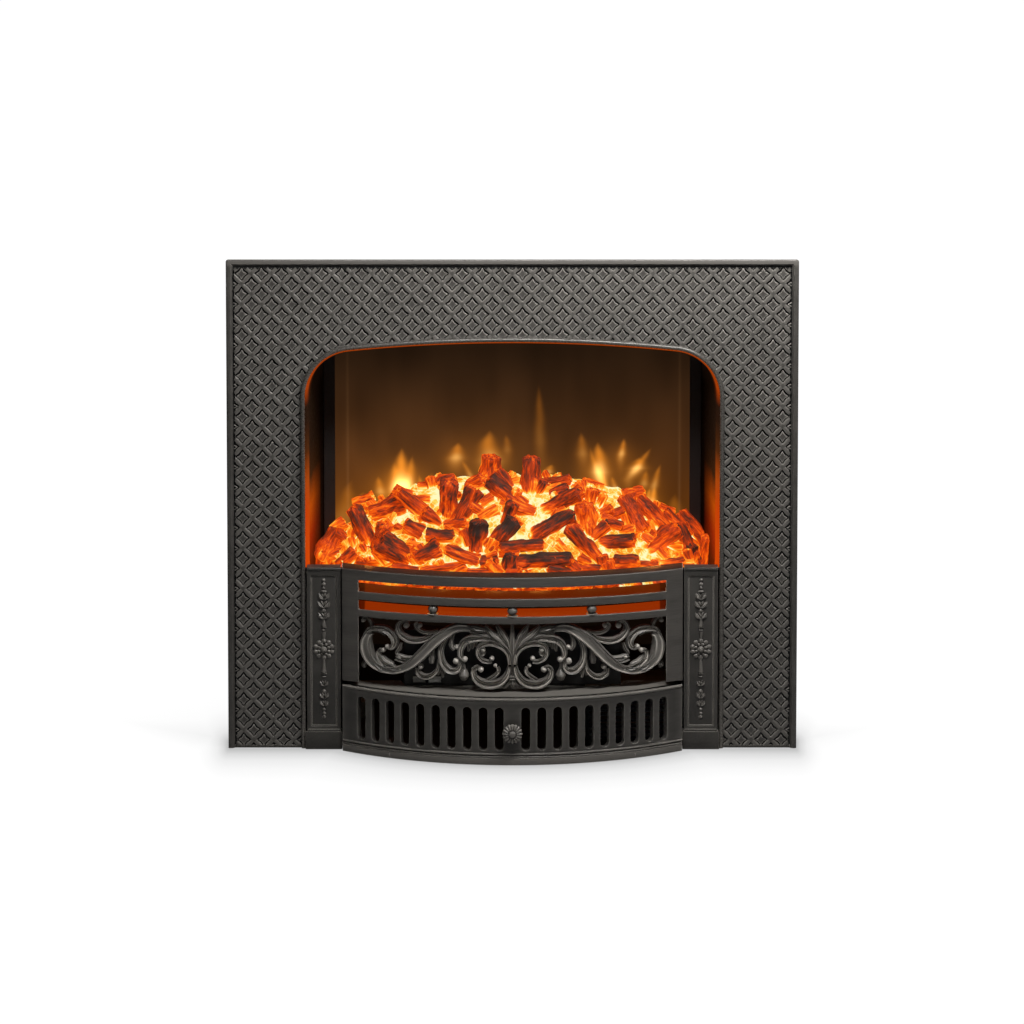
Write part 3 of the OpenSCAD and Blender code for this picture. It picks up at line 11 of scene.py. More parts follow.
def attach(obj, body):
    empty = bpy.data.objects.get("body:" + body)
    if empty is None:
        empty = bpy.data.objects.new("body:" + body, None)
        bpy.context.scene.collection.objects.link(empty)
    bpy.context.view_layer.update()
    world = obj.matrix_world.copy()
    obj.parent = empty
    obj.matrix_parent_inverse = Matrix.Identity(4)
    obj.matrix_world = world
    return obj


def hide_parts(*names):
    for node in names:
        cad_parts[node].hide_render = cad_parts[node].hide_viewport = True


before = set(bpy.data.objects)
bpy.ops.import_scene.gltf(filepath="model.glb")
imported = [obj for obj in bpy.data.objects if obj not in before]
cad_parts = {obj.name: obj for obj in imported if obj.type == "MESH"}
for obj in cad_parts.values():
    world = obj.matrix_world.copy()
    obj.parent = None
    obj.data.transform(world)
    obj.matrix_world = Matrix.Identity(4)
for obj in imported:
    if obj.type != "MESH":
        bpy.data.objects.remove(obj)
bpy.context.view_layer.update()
scene = bpy.context.scene
MM = 0.001

# Sizes of the solids, in millimetres, as in the part's source
HALF_W, HEIGHT = 310.0, 550.0
FRONT_Y, PLATE_Y = -12.0, -8.0
OPEN_HALF, OPEN_TOP, SHOULDER_R, CROWN_R = 225.0, 458.0, 53.0, 1715.0
FRET_HALF, FRET_R, FRET_CY = 185.5, 457.44, 399.14
FRET_TOP, FRET_BOTTOM = 205.7, 79.0
SLOT_A = (181.7, 194.4)
SLOT_B = (161.7, 172.7)
SCROLL_TOP = 153.8
SLOT_HALF = 167.2
PIL_IN, PIL_OUT, PIL_FRONT = 187.0, 223.5, -16.0
COVER_HALF, COVER_R, COVER_CY, COVER_H = 185.0, 328.72, 250.22, 75.0
TRAY_TOP, TRAY_R = 178.0, 415.44
SCREEN_Y = 116.5

# The picture: its middle column, the row of the foot, and millimetres to a pixel across, up and in depth
MIDDLE_PX, FOOT_PY = 512.0, 747.5
ACROSS, UP, DEPTH = 1.086, 1.127, 4.064


def picture_z(py, y):
    """Height of a point at depth y that the picture shows in row py."""
    return UP * (FOOT_PY - py + (FRONT_Y - y) / DEPTH)


# Pieces
def finish_piece(obj, material, slot, body="insert", replaces=(), sharp=32.0):
    """Smooth shading with sharp edges, the material, the body, and the nodes that it stands for hidden; slot
    is not used.
    """
    mesh = obj.data
    mesh.polygons.foreach_set("use_smooth", [True] * len(mesh.polygons))
    mesh.set_sharp_from_angle(angle=math.radians(sharp))
    mesh.materials.clear()
    mesh.materials.append(material)
    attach(obj, body)
    if replaces:
        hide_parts(*replaces)
    return obj


def add_mesh(name, verts, faces, merge=1e-4, fix_normals=True):
    """A mesh object from millimetres, with points nearer than merge joined."""
    mesh = bpy.data.meshes.new(name)
    mesh.from_pydata((np.asarray(verts, float) * MM).tolist(), [], [tuple(int(i) for i in f) for f in faces])
    bm = bmesh.new()
    bm.from_mesh(mesh)
    if merge:
        bmesh.ops.remove_doubles(bm, verts=bm.verts, dist=merge * MM)
    if fix_normals:
        bmesh.ops.recalc_face_normals(bm, faces=bm.faces)
    bm.to_mesh(mesh)
    bm.free()
    obj = bpy.data.objects.new(name, mesh)
    scene.collection.objects.link(obj)
    return obj


class Net:
    """Vertices and faces gathered from several shapes."""

    def __init__(self):
        self.verts, self.faces, self.count = [], [], 0

    def add(self, verts, faces):
        self.verts.append(np.asarray(verts, float).reshape(-1, 3))
        self.faces += [tuple(i + self.count for i in f) for f in faces]
        self.count += len(self.verts[-1])

    def grid(self, rings, **wrap):
        """Adds rows of points as a sheet of quads."""
        rings = np.asarray(rings, float)
        self.add(rings, grid_faces(*rings.shape[:2], **wrap))

    def mirror(self, side):
        """Turns the shapes over to the given side of the middle."""
        verts = np.concatenate(self.verts)
        verts[:, 0] *= side
        self.verts = [verts]

    def piece(self, name, material, slot, **keys):
        sharp = keys.pop("sharp", 32.0)
        obj = add_mesh(name, np.concatenate(self.verts), self.faces, fix_normals=keys.pop("fix", True))
        return finish_piece(obj, material, slot, sharp=sharp, **keys)


def grid_faces(rows, cols, wrap_rows=False, wrap_cols=False):
    faces = []
    for i in range(rows if wrap_rows else rows - 1):
        for j in range(cols if wrap_cols else cols - 1):
            a, b = i * cols + j, i * cols + (j + 1) % cols
            c, d = ((i + 1) % rows) * cols + (j + 1) % cols, ((i + 1) % rows) * cols + j
            faces.append((a, b, c, d))
    return faces


def end_caps(rows, cols):
    return [tuple(range(cols)), tuple((rows - 1) * cols + k for k in reversed(range(cols)))]


def sweep_net(net, rings):
    """A closed section swept through rings of points, with both ends filled."""
    rings = np.asarray(rings, float)
    rows, cols = rings.shape[:2]
    net.add(rings, grid_faces(rows, cols, wrap_cols=True) + end_caps(rows, cols))


def rounded(points, radius, steps=2):
    """A closed outline with its corners rounded off."""
    out = []
    n = len(points)
    for i in range(n):
        p, a, b = (np.array(points[k], float) for k in (i, i - 1, (i + 1) % n))
        u, v = a - p, b - p
        before, after = np.linalg.norm(u), np.linalg.norm(v)
        r = min(radius, 0.45 * before, 0.45 * after)
        start, end = p + u / before * r, p + v / after * r
        for k in range(steps + 1):
            t = k / steps
            out.append(tuple((1 - t) ** 2 * start + 2 * t * (1 - t) * p + t * t * end))
    return out


def curve_plate(outlines, thickness, bevel, cuts=()):
    """Vertices (x, depth, z) and faces of a plate with holes and rounded edges; depth 0 is its front."""
    curve = bpy.data.curves.new("plate", "CURVE")
    curve.dimensions = "2D"
    curve.fill_mode = "BOTH"
    curve.extrude = thickness / 2 - bevel
    curve.bevel_depth = bevel
    curve.bevel_resolution = 2
    curve.offset = -bevel
    for outline in outlines:
        spline = curve.splines.new("POLY")
        spline.points.add(len(outline) - 1)
        for p, (x, z) in zip(spline.points, outline):
            p.co = (x, z, 0, 1)
        spline.use_cyclic_u = True
    obj = bpy.data.objects.new("plate", curve)
    scene.collection.objects.link(obj)
    bpy.context.view_layer.update()
    mesh = bpy.data.meshes.new_from_object(obj.evaluated_get(bpy.context.evaluated_depsgraph_get()))
    bm = bmesh.new()
    bm.from_mesh(mesh)
    bmesh.ops.remove_doubles(bm, verts=bm.verts, dist=1e-4)
    for x in cuts:
        geom = bm.verts[:] + bm.edges[:] + bm.faces[:]
        bmesh.ops.bisect_plane(bm, geom=geom, plane_co=(x, 0, 0), plane_no=(1, 0, 0), dist=1e-4)
    bm.verts.index_update()
    verts = np.array([(v.co.x, thickness / 2 - v.co.z, v.co.y) for v in bm.verts])
    faces = [tuple(v.index for v in f.verts) for f in bm.faces]
    bm.free()
    bpy.data.objects.remove(obj)
    bpy.data.meshes.remove(mesh)
    return verts, faces


def on_fret(verts):
    """(x, depth, z) to the fret's bow."""
    v = np.array(verts, float)
    v[:, 1] = FRET_CY - np.sqrt((FRET_R - v[:, 1]) ** 2 - v[:, 0] ** 2)
    return v


def on_cover(verts):
    """(arc length, depth, z) to the cover's bow."""
    v = np.array(verts, float)
    a = v[:, 0] / COVER_R
    r = COVER_R - v[:, 1]
    return np.stack([r * np.sin(a), COVER_CY - r * np.cos(a), v[:, 2]], 1)


def box_outline(x0, z0, x1, z1):
    return [(x0, z0), (x1, z0), (x1, z1), (x0, z1)]


def soft_box(net, lo, hi, bevel=0.5):
    """A box with rounded edges."""
    lo, hi = np.array(lo, float), np.array(hi, float)
    bm = bmesh.new()
    bmesh.ops.create_cube(bm, size=1.0)
    for v in bm.verts:
        v.co = Vector(lo + (np.array(v.co) + 0.5) * (hi - lo))
    bmesh.ops.bevel(bm, geom=bm.edges[:], offset=bevel, segments=2, profile=0.5, affect="EDGES")
    bm.verts.index_update()
    net.add([tuple(v.co) for v in bm.verts], [tuple(v.index for v in f.verts) for f in bm.faces])
    bm.free()


def side_box(net, side, lo, hi, bevel):
    """A soft box given for the right side, put on either side."""
    x0, x1 = sorted((side * lo[0], side * hi[0]))
    soft_box(net, (x0, *lo[1:]), (x1, *hi[1:]), bevel)


def lathe(net, profile, centre, axis="y", steps=48, flute=None):
    """A turned shape of (radius, height, flute weight) rows. Axis y points to the front."""
    rings = []
    for k in range(steps):
        a = 2 * math.pi * k / steps
        ring = []
        for r, h, w in profile:
            wave = flute(a) * w if flute else 0.0
            wide, high = r * (1 + 0.06 * wave), h + 0.45 * wave
            right, up = wide * math.cos(a), wide * math.sin(a)
            if axis == "y":
                ring.append((centre[0] + right, centre[1] - high, centre[2] + up))
            else:
                ring.append((centre[0] + right, centre[1] + up, centre[2] + high))
        rings.append(ring)
    net.grid(rings, wrap_rows=True)


# Materials
def new_tree(name):
    material = bpy.data.materials.new(name)
    material.use_nodes = True
    material.node_tree.nodes.clear()
    return material, material.node_tree


def put(tree, kind, inputs=None, **props):
    node = tree.nodes.new("ShaderNode" + kind)
    for key, value in props.items():
        setattr(node, key, value)
    for key, value in (inputs or {}).items():
        socket = node.inputs[key]
        if isinstance(value, bpy.types.NodeSocket):
            tree.links.new(value, socket)
        else:
            socket.default_value = value
    return node


def ramp(tree, value, stops):
    node = tree.nodes.new("ShaderNodeValToRGB")
    tree.links.new(value, node.inputs[0])
    band = node.color_ramp
    while len(band.elements) > 1:
        band.elements.remove(band.elements[-1])
    band.elements[0].position, band.elements[0].color = stops[0][0], (*stops[0][1], 1)
    for position, colour in stops[1:]:
        band.elements.new(position).color = (*colour, 1)
    return node.outputs[0]


def greys(stops):
    return [(place, (level, level, level)) for place, level in stops]


def place_of(tree):
    """Outputs x, y and z of the shaded point, in metres."""
    return put(tree, "SeparateXYZ", {0: put(tree, "TexCoord").outputs["Object"]}).outputs


def mapped(tree, scale=(1, 1, 1)):
    coords = put(tree, "TexCoord")
    return put(tree, "Mapping", {"Vector": coords.outputs["Object"], "Scale": scale}).outputs[0]


def noise_of(tree, vector, scale, detail=4.0, rough=0.55):
    inputs = {"Vector": vector, "Scale": scale, "Detail": detail, "Roughness": rough}
    return put(tree, "TexNoise", inputs).outputs[0]


def math_of(tree, operation, a, b=0.0, clamp=False):
    return put(tree, "Math", {0: a, 1: b}, operation=operation, use_clamp=clamp).outputs[0]


def remap(tree, value, low, high, first=0.0, last=1.0):
    ends = {"From Min": low, "From Max": high, "To Min": first, "To Max": last}
    return put(tree, "MapRange", {"Value": value, **ends}).outputs[0]


def mix_of(tree, share, first, second, **props):
    """A mix of two colours, each a socket or a triple."""
    sides = [(*c, 1) if isinstance(c, tuple) else c for c in (first, second)]
    return put(tree, "Mix", {0: share, 6: sides[0], 7: sides[1]}, data_type="RGBA", **props).outputs[2]


def times(colour, gain):
    return tuple(min(1.0, c * gain) for c in colour)


def bump_of(tree, height, strength, distance):
    return put(tree, "Bump", {"Strength": strength, "Distance": distance, "Height": height}).outputs[0]


def finish_shader(tree, **inputs):
    """A principled shader as the material's surface; underscores in the names stand for spaces."""
    shader = put(tree, "BsdfPrincipled", {key.replace("_", " "): value for key, value in inputs.items()})
    put(tree, "OutputMaterial", {"Surface": shader.outputs[0]})
    return shader


def metal(name, dark, light, rough=(0.38, 0.6), metallic=0.5, stretch=(1, 1, 1), grain=620.0, bump=0.25,
          wear_and_sheen=0.0, glow=None, gloss=0.5, recess_shade=None, edge=0.0, painted_top_light=None, upward=False):
    """A cast or sheet metal with cloudy colour, fine grain and, if asked, ridges painted brighter, partly as
    wear, partly as a painted highlight.

    glow is (low z, high z, colours) of painted ember light. recess_shade is (y, y) between which the colour
    sinks to black: painted shade in the hollows.
    edge is how far the sharp edges are painted bright, partly as wear, partly as a painted highlight, with
    upward only those that face up, towards the light from above.
    painted_top_light is (low z, high z, gain) of a top painted paler, as if lit from above.
    """
    material, tree = new_tree(name)
    space = mapped(tree, stretch)
    clouds = math_of(tree, "MULTIPLY", noise_of(tree, space, 38.0, 5.0), 0.55)
    fine = noise_of(tree, space, grain, 3.0, 0.6)
    mixed = math_of(tree, "ADD", clouds, math_of(tree, "MULTIPLY", fine, 0.45))
    colour = ramp(tree, mixed, [(0.32, dark), (0.68, light)])
    # Ridges painted brighter: partly wear, partly a painted highlight
    if wear_and_sheen:
        ridge = remap(tree, put(tree, "NewGeometry").outputs["Pointiness"], 0.5, 0.56, 0.0, wear_and_sheen)
        colour = mix_of(tree, ridge, colour, times(light, 3.2))
    # A top painted paler: painted light from above
    if painted_top_light:
        high = remap(tree, place_of(tree)[2], painted_top_light[0] * MM, painted_top_light[1] * MM)
        colour = mix_of(tree, high, colour, times(light, painted_top_light[2]))
    # Sharp edges painted bright: partly wear, partly a painted highlight
    if edge:
        colour = mix_of(tree, edge_wear_and_sheen(tree, edge, upward), colour, times(light, 5.5))
    # Painted shade: the colour sinks to black deeper in the hollows
    if recess_shade:
        sunk = remap(tree, place_of(tree)[1], recess_shade[0] * MM, recess_shade[1] * MM, 0.0, 0.94)
        colour = mix_of(tree, sunk, colour, (0, 0, 0))
    shine = remap(tree, fine, 0.3, 0.7, *rough)
    shader = finish_shader(tree, Base_Color=colour, Roughness=shine, Metallic=metallic,
                           Specular_IOR_Level=gloss, Normal=bump_of(tree, fine, bump, 0.0004))
    if glow:
        tree.links.new(lit_by_tray(tree, *glow), shader.inputs["Emission Color"])
        shader.inputs["Emission Strength"].default_value = 1.0
    return material


def edge_wear_and_sheen(tree, amount, upward):
    """How far a point lies on a sharp edge, from a normal that is rounded off within EDGE_SHEEN_RADIUS: the
    share painted bright as wear and painted highlight.
    """
    true_normal = put(tree, "NewGeometry").outputs["Normal"]
    soft_normal = put(tree, "Bevel", {"Radius": EDGE_SHEEN_RADIUS * MM}, samples=4).outputs[0]
    flat = put(tree, "VectorMath", {0: true_normal, 1: soft_normal}, operation="DOT_PRODUCT").outputs["Value"]
    edge_sheen = remap(tree, flat, 0.985, 0.88, 0.0, amount)
    # Only up-facing edges, where the light from above falls, get the painted highlight
    if upward:
        rise = put(tree, "SeparateXYZ", {0: soft_normal}).outputs[2]
        edge_sheen = math_of(tree, "MULTIPLY", edge_sheen, remap(tree, rise, 0.06, 0.32))
    return edge_sheen


def lit_by_tray(tree, low, high, colours):
    """Light of the embers on the tray's front and the ledges, less beyond the tray's ends."""
    parts = place_of(tree)
    heat = ramp(tree, remap(tree, parts[2], low * MM, high * MM), colours)
    beyond = remap(tree, math_of(tree, "ABSOLUTE", parts[0]), TRAY_END * MM, (TRAY_END + 1.4) * MM)
    ends = ramp(tree, beyond, [(0.0, (1, 1, 1)), (1.0, (0.30, 0.27, 0.27))])
    return mix_of(tree, 1.0, heat, ends, blend_type="MULTIPLY")


def plain(name, dark, light, rough=0.5, grain=300.0, emission=None):
    """Plastic, resin or ceramic with a little unevenness."""
    material, tree = new_tree(name)
    fine = noise_of(tree, mapped(tree), grain, 3.0)
    shader = finish_shader(tree, Base_Color=ramp(tree, fine, [(0.3, dark), (0.7, light)]),
                           Roughness=remap(tree, fine, 0.3, 0.7, rough - 0.06, rough + 0.08), Metallic=0.0,
                           Normal=bump_of(tree, fine, 0.1, 0.0003))
    if emission:
        shader.inputs["Emission Color"].default_value = (*emission[0], 1)
        shader.inputs["Emission Strength"].default_value = emission[1]
    return material


# Width of the sharp edges painted bright, partly as wear, partly as a painted highlight, and half the length
# of the tray's lit front, in millimetres
EDGE_SHEEN_RADIUS, TRAY_END = 1.1, 159.8
SATIN = {"rough": (0.33, 0.5), "metallic": 0.1}
BRUSHED = {"rough": (0.36, 0.55), "metallic": 0.0, "stretch": (0.12, 0.12, 1.6)}
SOOTY = {"rough": (0.6, 0.8), "metallic": 0.0, "gloss": 0.05}
SOOT, THIN_SOOT = (0.004, 0.002, 0.001), (0.008, 0.004, 0.002)

iron = metal("iron", (0.034, 0.031, 0.027), (0.071, 0.065, 0.057), metallic=0.0, edge=0.7)
# The rim's top is painted paler, as if lit from above
iron_rim = metal("iron_rim", (0.050, 0.046, 0.041), (0.095, 0.088, 0.079), edge=0.7,
                 painted_top_light=(541.0, 545.0, 1.5), **SATIN)
iron_bead = metal("iron_bead", (0.032, 0.029, 0.026), (0.074, 0.068, 0.060), rough=(0.22, 0.34),
                  metallic=0.25, wear_and_sheen=0.6)
iron_cover = metal("iron_cover", (0.035, 0.032, 0.028), (0.075, 0.069, 0.061), wear_and_sheen=0.7, edge=1.0, **BRUSHED)
iron_brushed = metal("iron_brushed", (0.060, 0.054, 0.048), (0.118, 0.107, 0.094), edge=0.8, **BRUSHED)
iron_relief = metal("iron_relief", (0.11, 0.101, 0.089), (0.23, 0.212, 0.188), wear_and_sheen=0.9, **SATIN)
iron_ornament = metal("iron_ornament", (0.055, 0.050, 0.044), (0.12, 0.110, 0.097), wear_and_sheen=0.6, **SATIN)
# The lattice's grooves sink to painted shade, and its up-facing edges get a painted highlight
iron_lattice = metal("iron_lattice", (0.053, 0.049, 0.044), (0.102, 0.095, 0.085), rough=(0.28, 0.44),
                     metallic=0.12, wear_and_sheen=0.8, recess_shade=(-9.2, -8.5), edge=1.0, upward=True)
# The plate's front behind the lattice sinks almost to black: painted shade
iron_plate = metal("iron_plate", (0.052, 0.050, 0.047), (0.084, 0.081, 0.077), rough=(0.5, 0.7), metallic=0.0,
                   recess_shade=(-4.8, -6.2))
black_steel = metal("black_steel", (0.004, 0.004, 0.004), (0.010, 0.0095, 0.009), rough=(0.5, 0.7),
                    metallic=0.0)
casing_steel = metal("casing_steel", (0.075, 0.075, 0.073), (0.115, 0.115, 0.112), rough=(0.42, 0.6),
                     metallic=0.3)
zinc = metal("zinc", (0.34, 0.34, 0.33), (0.52, 0.52, 0.50), rough=(0.3, 0.45), metallic=1.0,
             stretch=(1, 1, 0.2))
bronze = metal("bronze", (0.40, 0.26, 0.10), (0.62, 0.43, 0.18), rough=(0.25, 0.4), metallic=1.0)
foil = metal("foil", (0.7, 0.7, 0.72), (0.9, 0.9, 0.92), rough=(0.12, 0.3), metallic=1.0, bump=0.6)
oxide = metal("oxide", (0.16, 0.09, 0.06), (0.34, 0.22, 0.15), rough=(0.4, 0.6), metallic=0.9)
motor_can = metal("motor_can", (0.10, 0.10, 0.11), (0.2, 0.2, 0.21), rough=(0.35, 0.5), metallic=0.8)
warm_iron = metal("warm_iron", (0.016, 0.011, 0.008), (0.032, 0.022, 0.016), rough=(0.42, 0.6), metallic=0.0,
                  gloss=0.3)


# Distance from the middle where the cheeks meet the reveal
LINING_OUT = 220.2


def glow_lining(name):
    """Dark lining lit by the embers: orange low down near the front, black far in and high up."""
    material, tree = new_tree(name)
    x, y, z = place_of(tree)
    height = remap(tree, z, 0.20, 0.44)
    out = math_of(tree, "ABSOLUTE", x)
    near = ramp(tree, height, [
        (0.0, (0.62, 0.058, 0.001)), (0.28, (0.53, 0.048, 0.001)), (0.42, (0.37, 0.054, 0.003)),
        (0.56, (0.062, 0.016, 0.003)), (0.70, (0.016, 0.006, 0.003)), (1.0, (0.006, 0.003, 0.002))])
    far = ramp(tree, height, [
        (0.0, (0.12, 0.012, 0.001)), (0.14, (0.32, 0.018, 0.001)), (0.28, (0.46, 0.065, 0.001)),
        (0.42, (0.036, 0.011, 0.003)), (0.56, (0.011, 0.005, 0.003)), (1.0, (0.003, 0.002, 0.001))])
    fade = ramp(tree, remap(tree, out, (LINING_OUT - 10.6) * MM, (LINING_OUT + 0.4) * MM),
                greys([(0.0, 0.0), (0.08, 0.10), (0.42, 0.36), (0.85, 0.9), (1.0, 1.0)]))
    faded = mix_of(tree, 1.0, far, fade, blend_type="MULTIPLY")
    colour = mix_of(tree, remap(tree, out, LINING_OUT * MM, (LINING_OUT + 0.8) * MM), faded, near)
    # Under the crown the light reaches only the front
    front = ramp(tree, remap(tree, y, -12 * MM, 20 * MM), [
        (0.0, (0.36, 0.046, 0.002)), (0.3, (0.30, 0.036, 0.002)), (0.6, (0.05, 0.008, 0.001)), (1.0, SOOT)])
    colour = mix_of(tree, remap(tree, z, 0.385, 0.405), colour, front)
    grain = noise_of(tree, mapped(tree), 260.0, 3.0)
    finish_shader(tree, Base_Color=ramp(tree, grain, [(0.3, SOOT), (0.7, (0.009, 0.005, 0.002))]),
                  Roughness=remap(tree, grain, 0.3, 0.7, 0.55, 0.75), Specular_IOR_Level=0.04,
                  Normal=bump_of(tree, grain, 0.2, 0.0003), Emission_Color=colour, Emission_Strength=1.0)
    return material


reveal_iron = glow_lining("reveal_iron")
cheek_steel = glow_lining("cheek_steel")
# Painted ember light, orange, on the tray's front and on the ledges, by height; the tray's is unlit below and
# above its band
ORANGE, DULL_ORANGE = (0.27, 0.024, 0.0004), (0.115, 0.013, 0.0009)
TRAY = [(0.0, SOOT), (0.18, SOOT), (0.26, (0.26, 0.023, 0.0004)), (0.74, ORANGE), (0.79, SOOT), (1.0, SOOT)]
LEDGE = [(0.0, ORANGE), (0.5, ORANGE), (0.6, DULL_ORANGE), (1.0, DULL_ORANGE)]
tray_steel = metal("tray_steel", SOOT, THIN_SOOT, glow=(150.0, 162.0, TRAY), **SOOTY)
ledge_iron = metal("ledge_iron", SOOT, THIN_SOOT, glow=(158.0, 184.0, LEDGE), **SOOTY)
board = plain("board", (0.01, 0.07, 0.03), (0.02, 0.12, 0.05), rough=0.35)
ceramic = plain("ceramic", (0.66, 0.62, 0.52), (0.8, 0.77, 0.68), rough=0.4)
nylon = plain("nylon", (0.68, 0.66, 0.58), (0.78, 0.76, 0.70), rough=0.45)
grey_plastic = plain("grey_plastic", (0.07, 0.068, 0.063), (0.12, 0.115, 0.108), rough=0.45)
rocker_plastic = plain("rocker_plastic", (0.46, 0.45, 0.42), (0.60, 0.58, 0.54), rough=0.4)
switch_plate = plain("switch_plate", (0.016, 0.015, 0.014), (0.028, 0.027, 0.025), rough=0.55)
black_rubber = plain("black_rubber", (0.012, 0.012, 0.012), (0.024, 0.024, 0.024), rough=0.75, grain=800)
led_clear = plain("led_clear", (0.8, 0.6, 0.35), (0.95, 0.8, 0.55), rough=0.15,
                  emission=((1.0, 0.62, 0.22), 2.0))

NODE_LOOKS = (
    (iron_plate, "front_panel"),
    (casing_steel, "rear_casing top_cover base_plate"),
    (black_steel, "bracket_left bracket_right screen_post_left screen_post_right heater_grille"),
    (cheek_steel, "cheek_left cheek_right"),
    (tray_steel, "ember_tray"),
    (zinc, "bracket_screws casing_screws flame_mask tray_supports rotor_cradle heater_housing"),
    (zinc, "cover_runners knob_nut rotor_spindle"),
    (board, "led_board flame_led_strip circuit_board"),
    (led_clear, "led_domes"),
    (bronze, "rotor_bush blower_bushes"),
    (motor_can, "rotor_motor blower_motor"),
    (foil, "rotor_foils blower_wheel"),
    (oxide, "heating_element"),
    (ceramic, "thermal_cutout"),
    (switch_plate, "control_panel"),
    (rocker_plastic, "rocker_light rocker_heat"),
    (grey_plastic, "switch_housing"),
    (nylon, "terminal_block"),
    (black_rubber, "cable_grommet"),
)
for look, nodes in NODE_LOOKS:
    for node in nodes.split():
        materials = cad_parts[node].data.materials
        materials.clear()
        materials.append(look)


# Surround
# Centres of the arch's shoulders, at x = +-SHOULDER_X, and of its crown
SHOULDER_X = OPEN_HALF - SHOULDER_R
CROWN_Z = OPEN_TOP - CROWN_R
SHOULDER_Z = CROWN_Z + math.sqrt((CROWN_R - SHOULDER_R) ** 2 - SHOULDER_X ** 2)
REVEAL_FOOT = 206.7


def arch_points(offset, foot, shoulder_steps=22, crown_steps=60):
    """The opening's outline grown by offset, from the right foot over the crown to the left one."""
    turn = math.atan2(SHOULDER_X, SHOULDER_Z - CROWN_Z)
    right = [(OPEN_HALF + offset, foot + (SHOULDER_Z - foot) * k / 12) for k in range(12)]
    radius = SHOULDER_R + offset
    for i in range(shoulder_steps + 1):
        a = i * (math.pi / 2 - turn) / shoulder_steps
        right.append((SHOULDER_X + radius * math.cos(a), SHOULDER_Z + radius * math.sin(a)))
    radius = CROWN_R + offset
    for i in range(1, crown_steps // 2 + 1):
        a = math.pi / 2 - turn + 2 * i * turn / crown_steps
        right.append((radius * math.cos(a), CROWN_Z + radius * math.sin(a)))
    left = [(-x, z) for x, z in reversed(right[:-1])]
    return right + left


def inside_arch(x, z, offset=0.0):
    """True where a point lies in the opening grown by offset."""
    out, high = np.abs(x), z >= SHOULDER_Z
    under = (out < OPEN_HALF + offset) & ~high
    crown = (np.hypot(out, z - CROWN_Z) < CROWN_R + offset) & (out < SHOULDER_X) & high
    corner = np.hypot(out - SHOULDER_X, z - SHOULDER_Z) < SHOULDER_R + offset
    return under | crown | (corner & (out >= SHOULDER_X) & high)


def arch_sweep(name, section, foot, material, slot, replaces=()):
    """A section of (offset, y) corners swept round the opening."""
    net = Net()
    rings = [[(x, y, z) for x, z in arch_points(offset, foot)] for offset, y in section]
    sweep_net(net, np.array(rings).transpose(1, 0, 2))
    return net.piece(name, material, slot, replaces=replaces, sharp=40)


def bead():
    middle, radius, front = 2.5, 2.5, -12.0
    turns = [math.radians(a) for a in range(0, 181, 20)]
    arc = [(middle + radius * math.cos(a), front - radius * math.sin(a)) for a in turns]
    section = [(5.0, PLATE_Y), (4.95, -11.2), *arc, (0.05, -11.2), (0.0, PLATE_Y)]
    arch_sweep("bead", section, 0.5, iron_bead, "cast", ["arch_bead"])


def reveal():
    strip = [(-0.3, -7.5), (-2.3, -7.5), (-7.5, 28.0), (-5.5, 28.0), (-0.3, -2.5), (8, -2.5), (8, -4),
             (-0.3, -4)]
    lip = [(0.3, -11.6), (-1.5, -11.0), (-1.7, -7.0), (-0.2, -7.0)]
    arch_sweep("reveal", rounded(strip, 0.3, 1), REVEAL_FOOT, reveal_iron, "reveal", ["arch_reveal"])
    arch_sweep("reveal_lip", rounded(lip, 0.3, 1), REVEAL_FOOT, reveal_iron, "reveal")


bead()
reveal()


def rim():
    # Corners as distance in from the outer edge and y; the outer face slopes away behind a rounded front edge
    corners = [(3.4, 0), (0.4, -9.8), (0.1, -10.7), (0.8, -11.7), (2.2, -12.0), (5.0, -12.0), (7.5, -9.5),
               (7.5, -8.0), (3.0, -8.0), (3.0, -3.9), (5.5, -3.9), (5.5, 0)]
    section = rounded(corners, 0.4, 3)
    corner, turns, stations = 3.0, 5, (0.0, 4.0, 250.0, HEIGHT - 40)

    def turned(side, k):
        """The section at step k of a corner's turn, from the side to the top."""
        t = math.pi / 2 * k / turns
        ring = []
        for a, y in section:
            r = max(corner - a, 0.0)
            x, z = HALF_W - max(a, corner), HEIGHT - max(a, corner)
            ring.append((side * (x + r * math.cos(t)), y, z + r * math.sin(t)))
        return ring

    rings = [[(a - HALF_W, y, z) for a, y in section] for z in stations]
    rings += [turned(-1, k) for k in range(turns + 1)]
    rings += [[(x, y, HEIGHT - a) for a, y in section] for x in (-200.0, 0.0, 200.0)]
    rings += [turned(1, k) for k in range(turns, -1, -1)]
    rings += [[(HALF_W - a, y, z) for a, y in section] for z in reversed(stations)]
    net = Net()
    sweep_net(net, rings)
    net.piece("rim", iron_rim, "cast", replaces=["outer_rim"], sharp=35)


rim()


def smooth_step(x):
    x = np.clip(x, 0, 1)
    return x * x * (3 - 2 * x)


CELL_W, CELL_H, CELL_LOW = 21.7, 22.8, -1.7


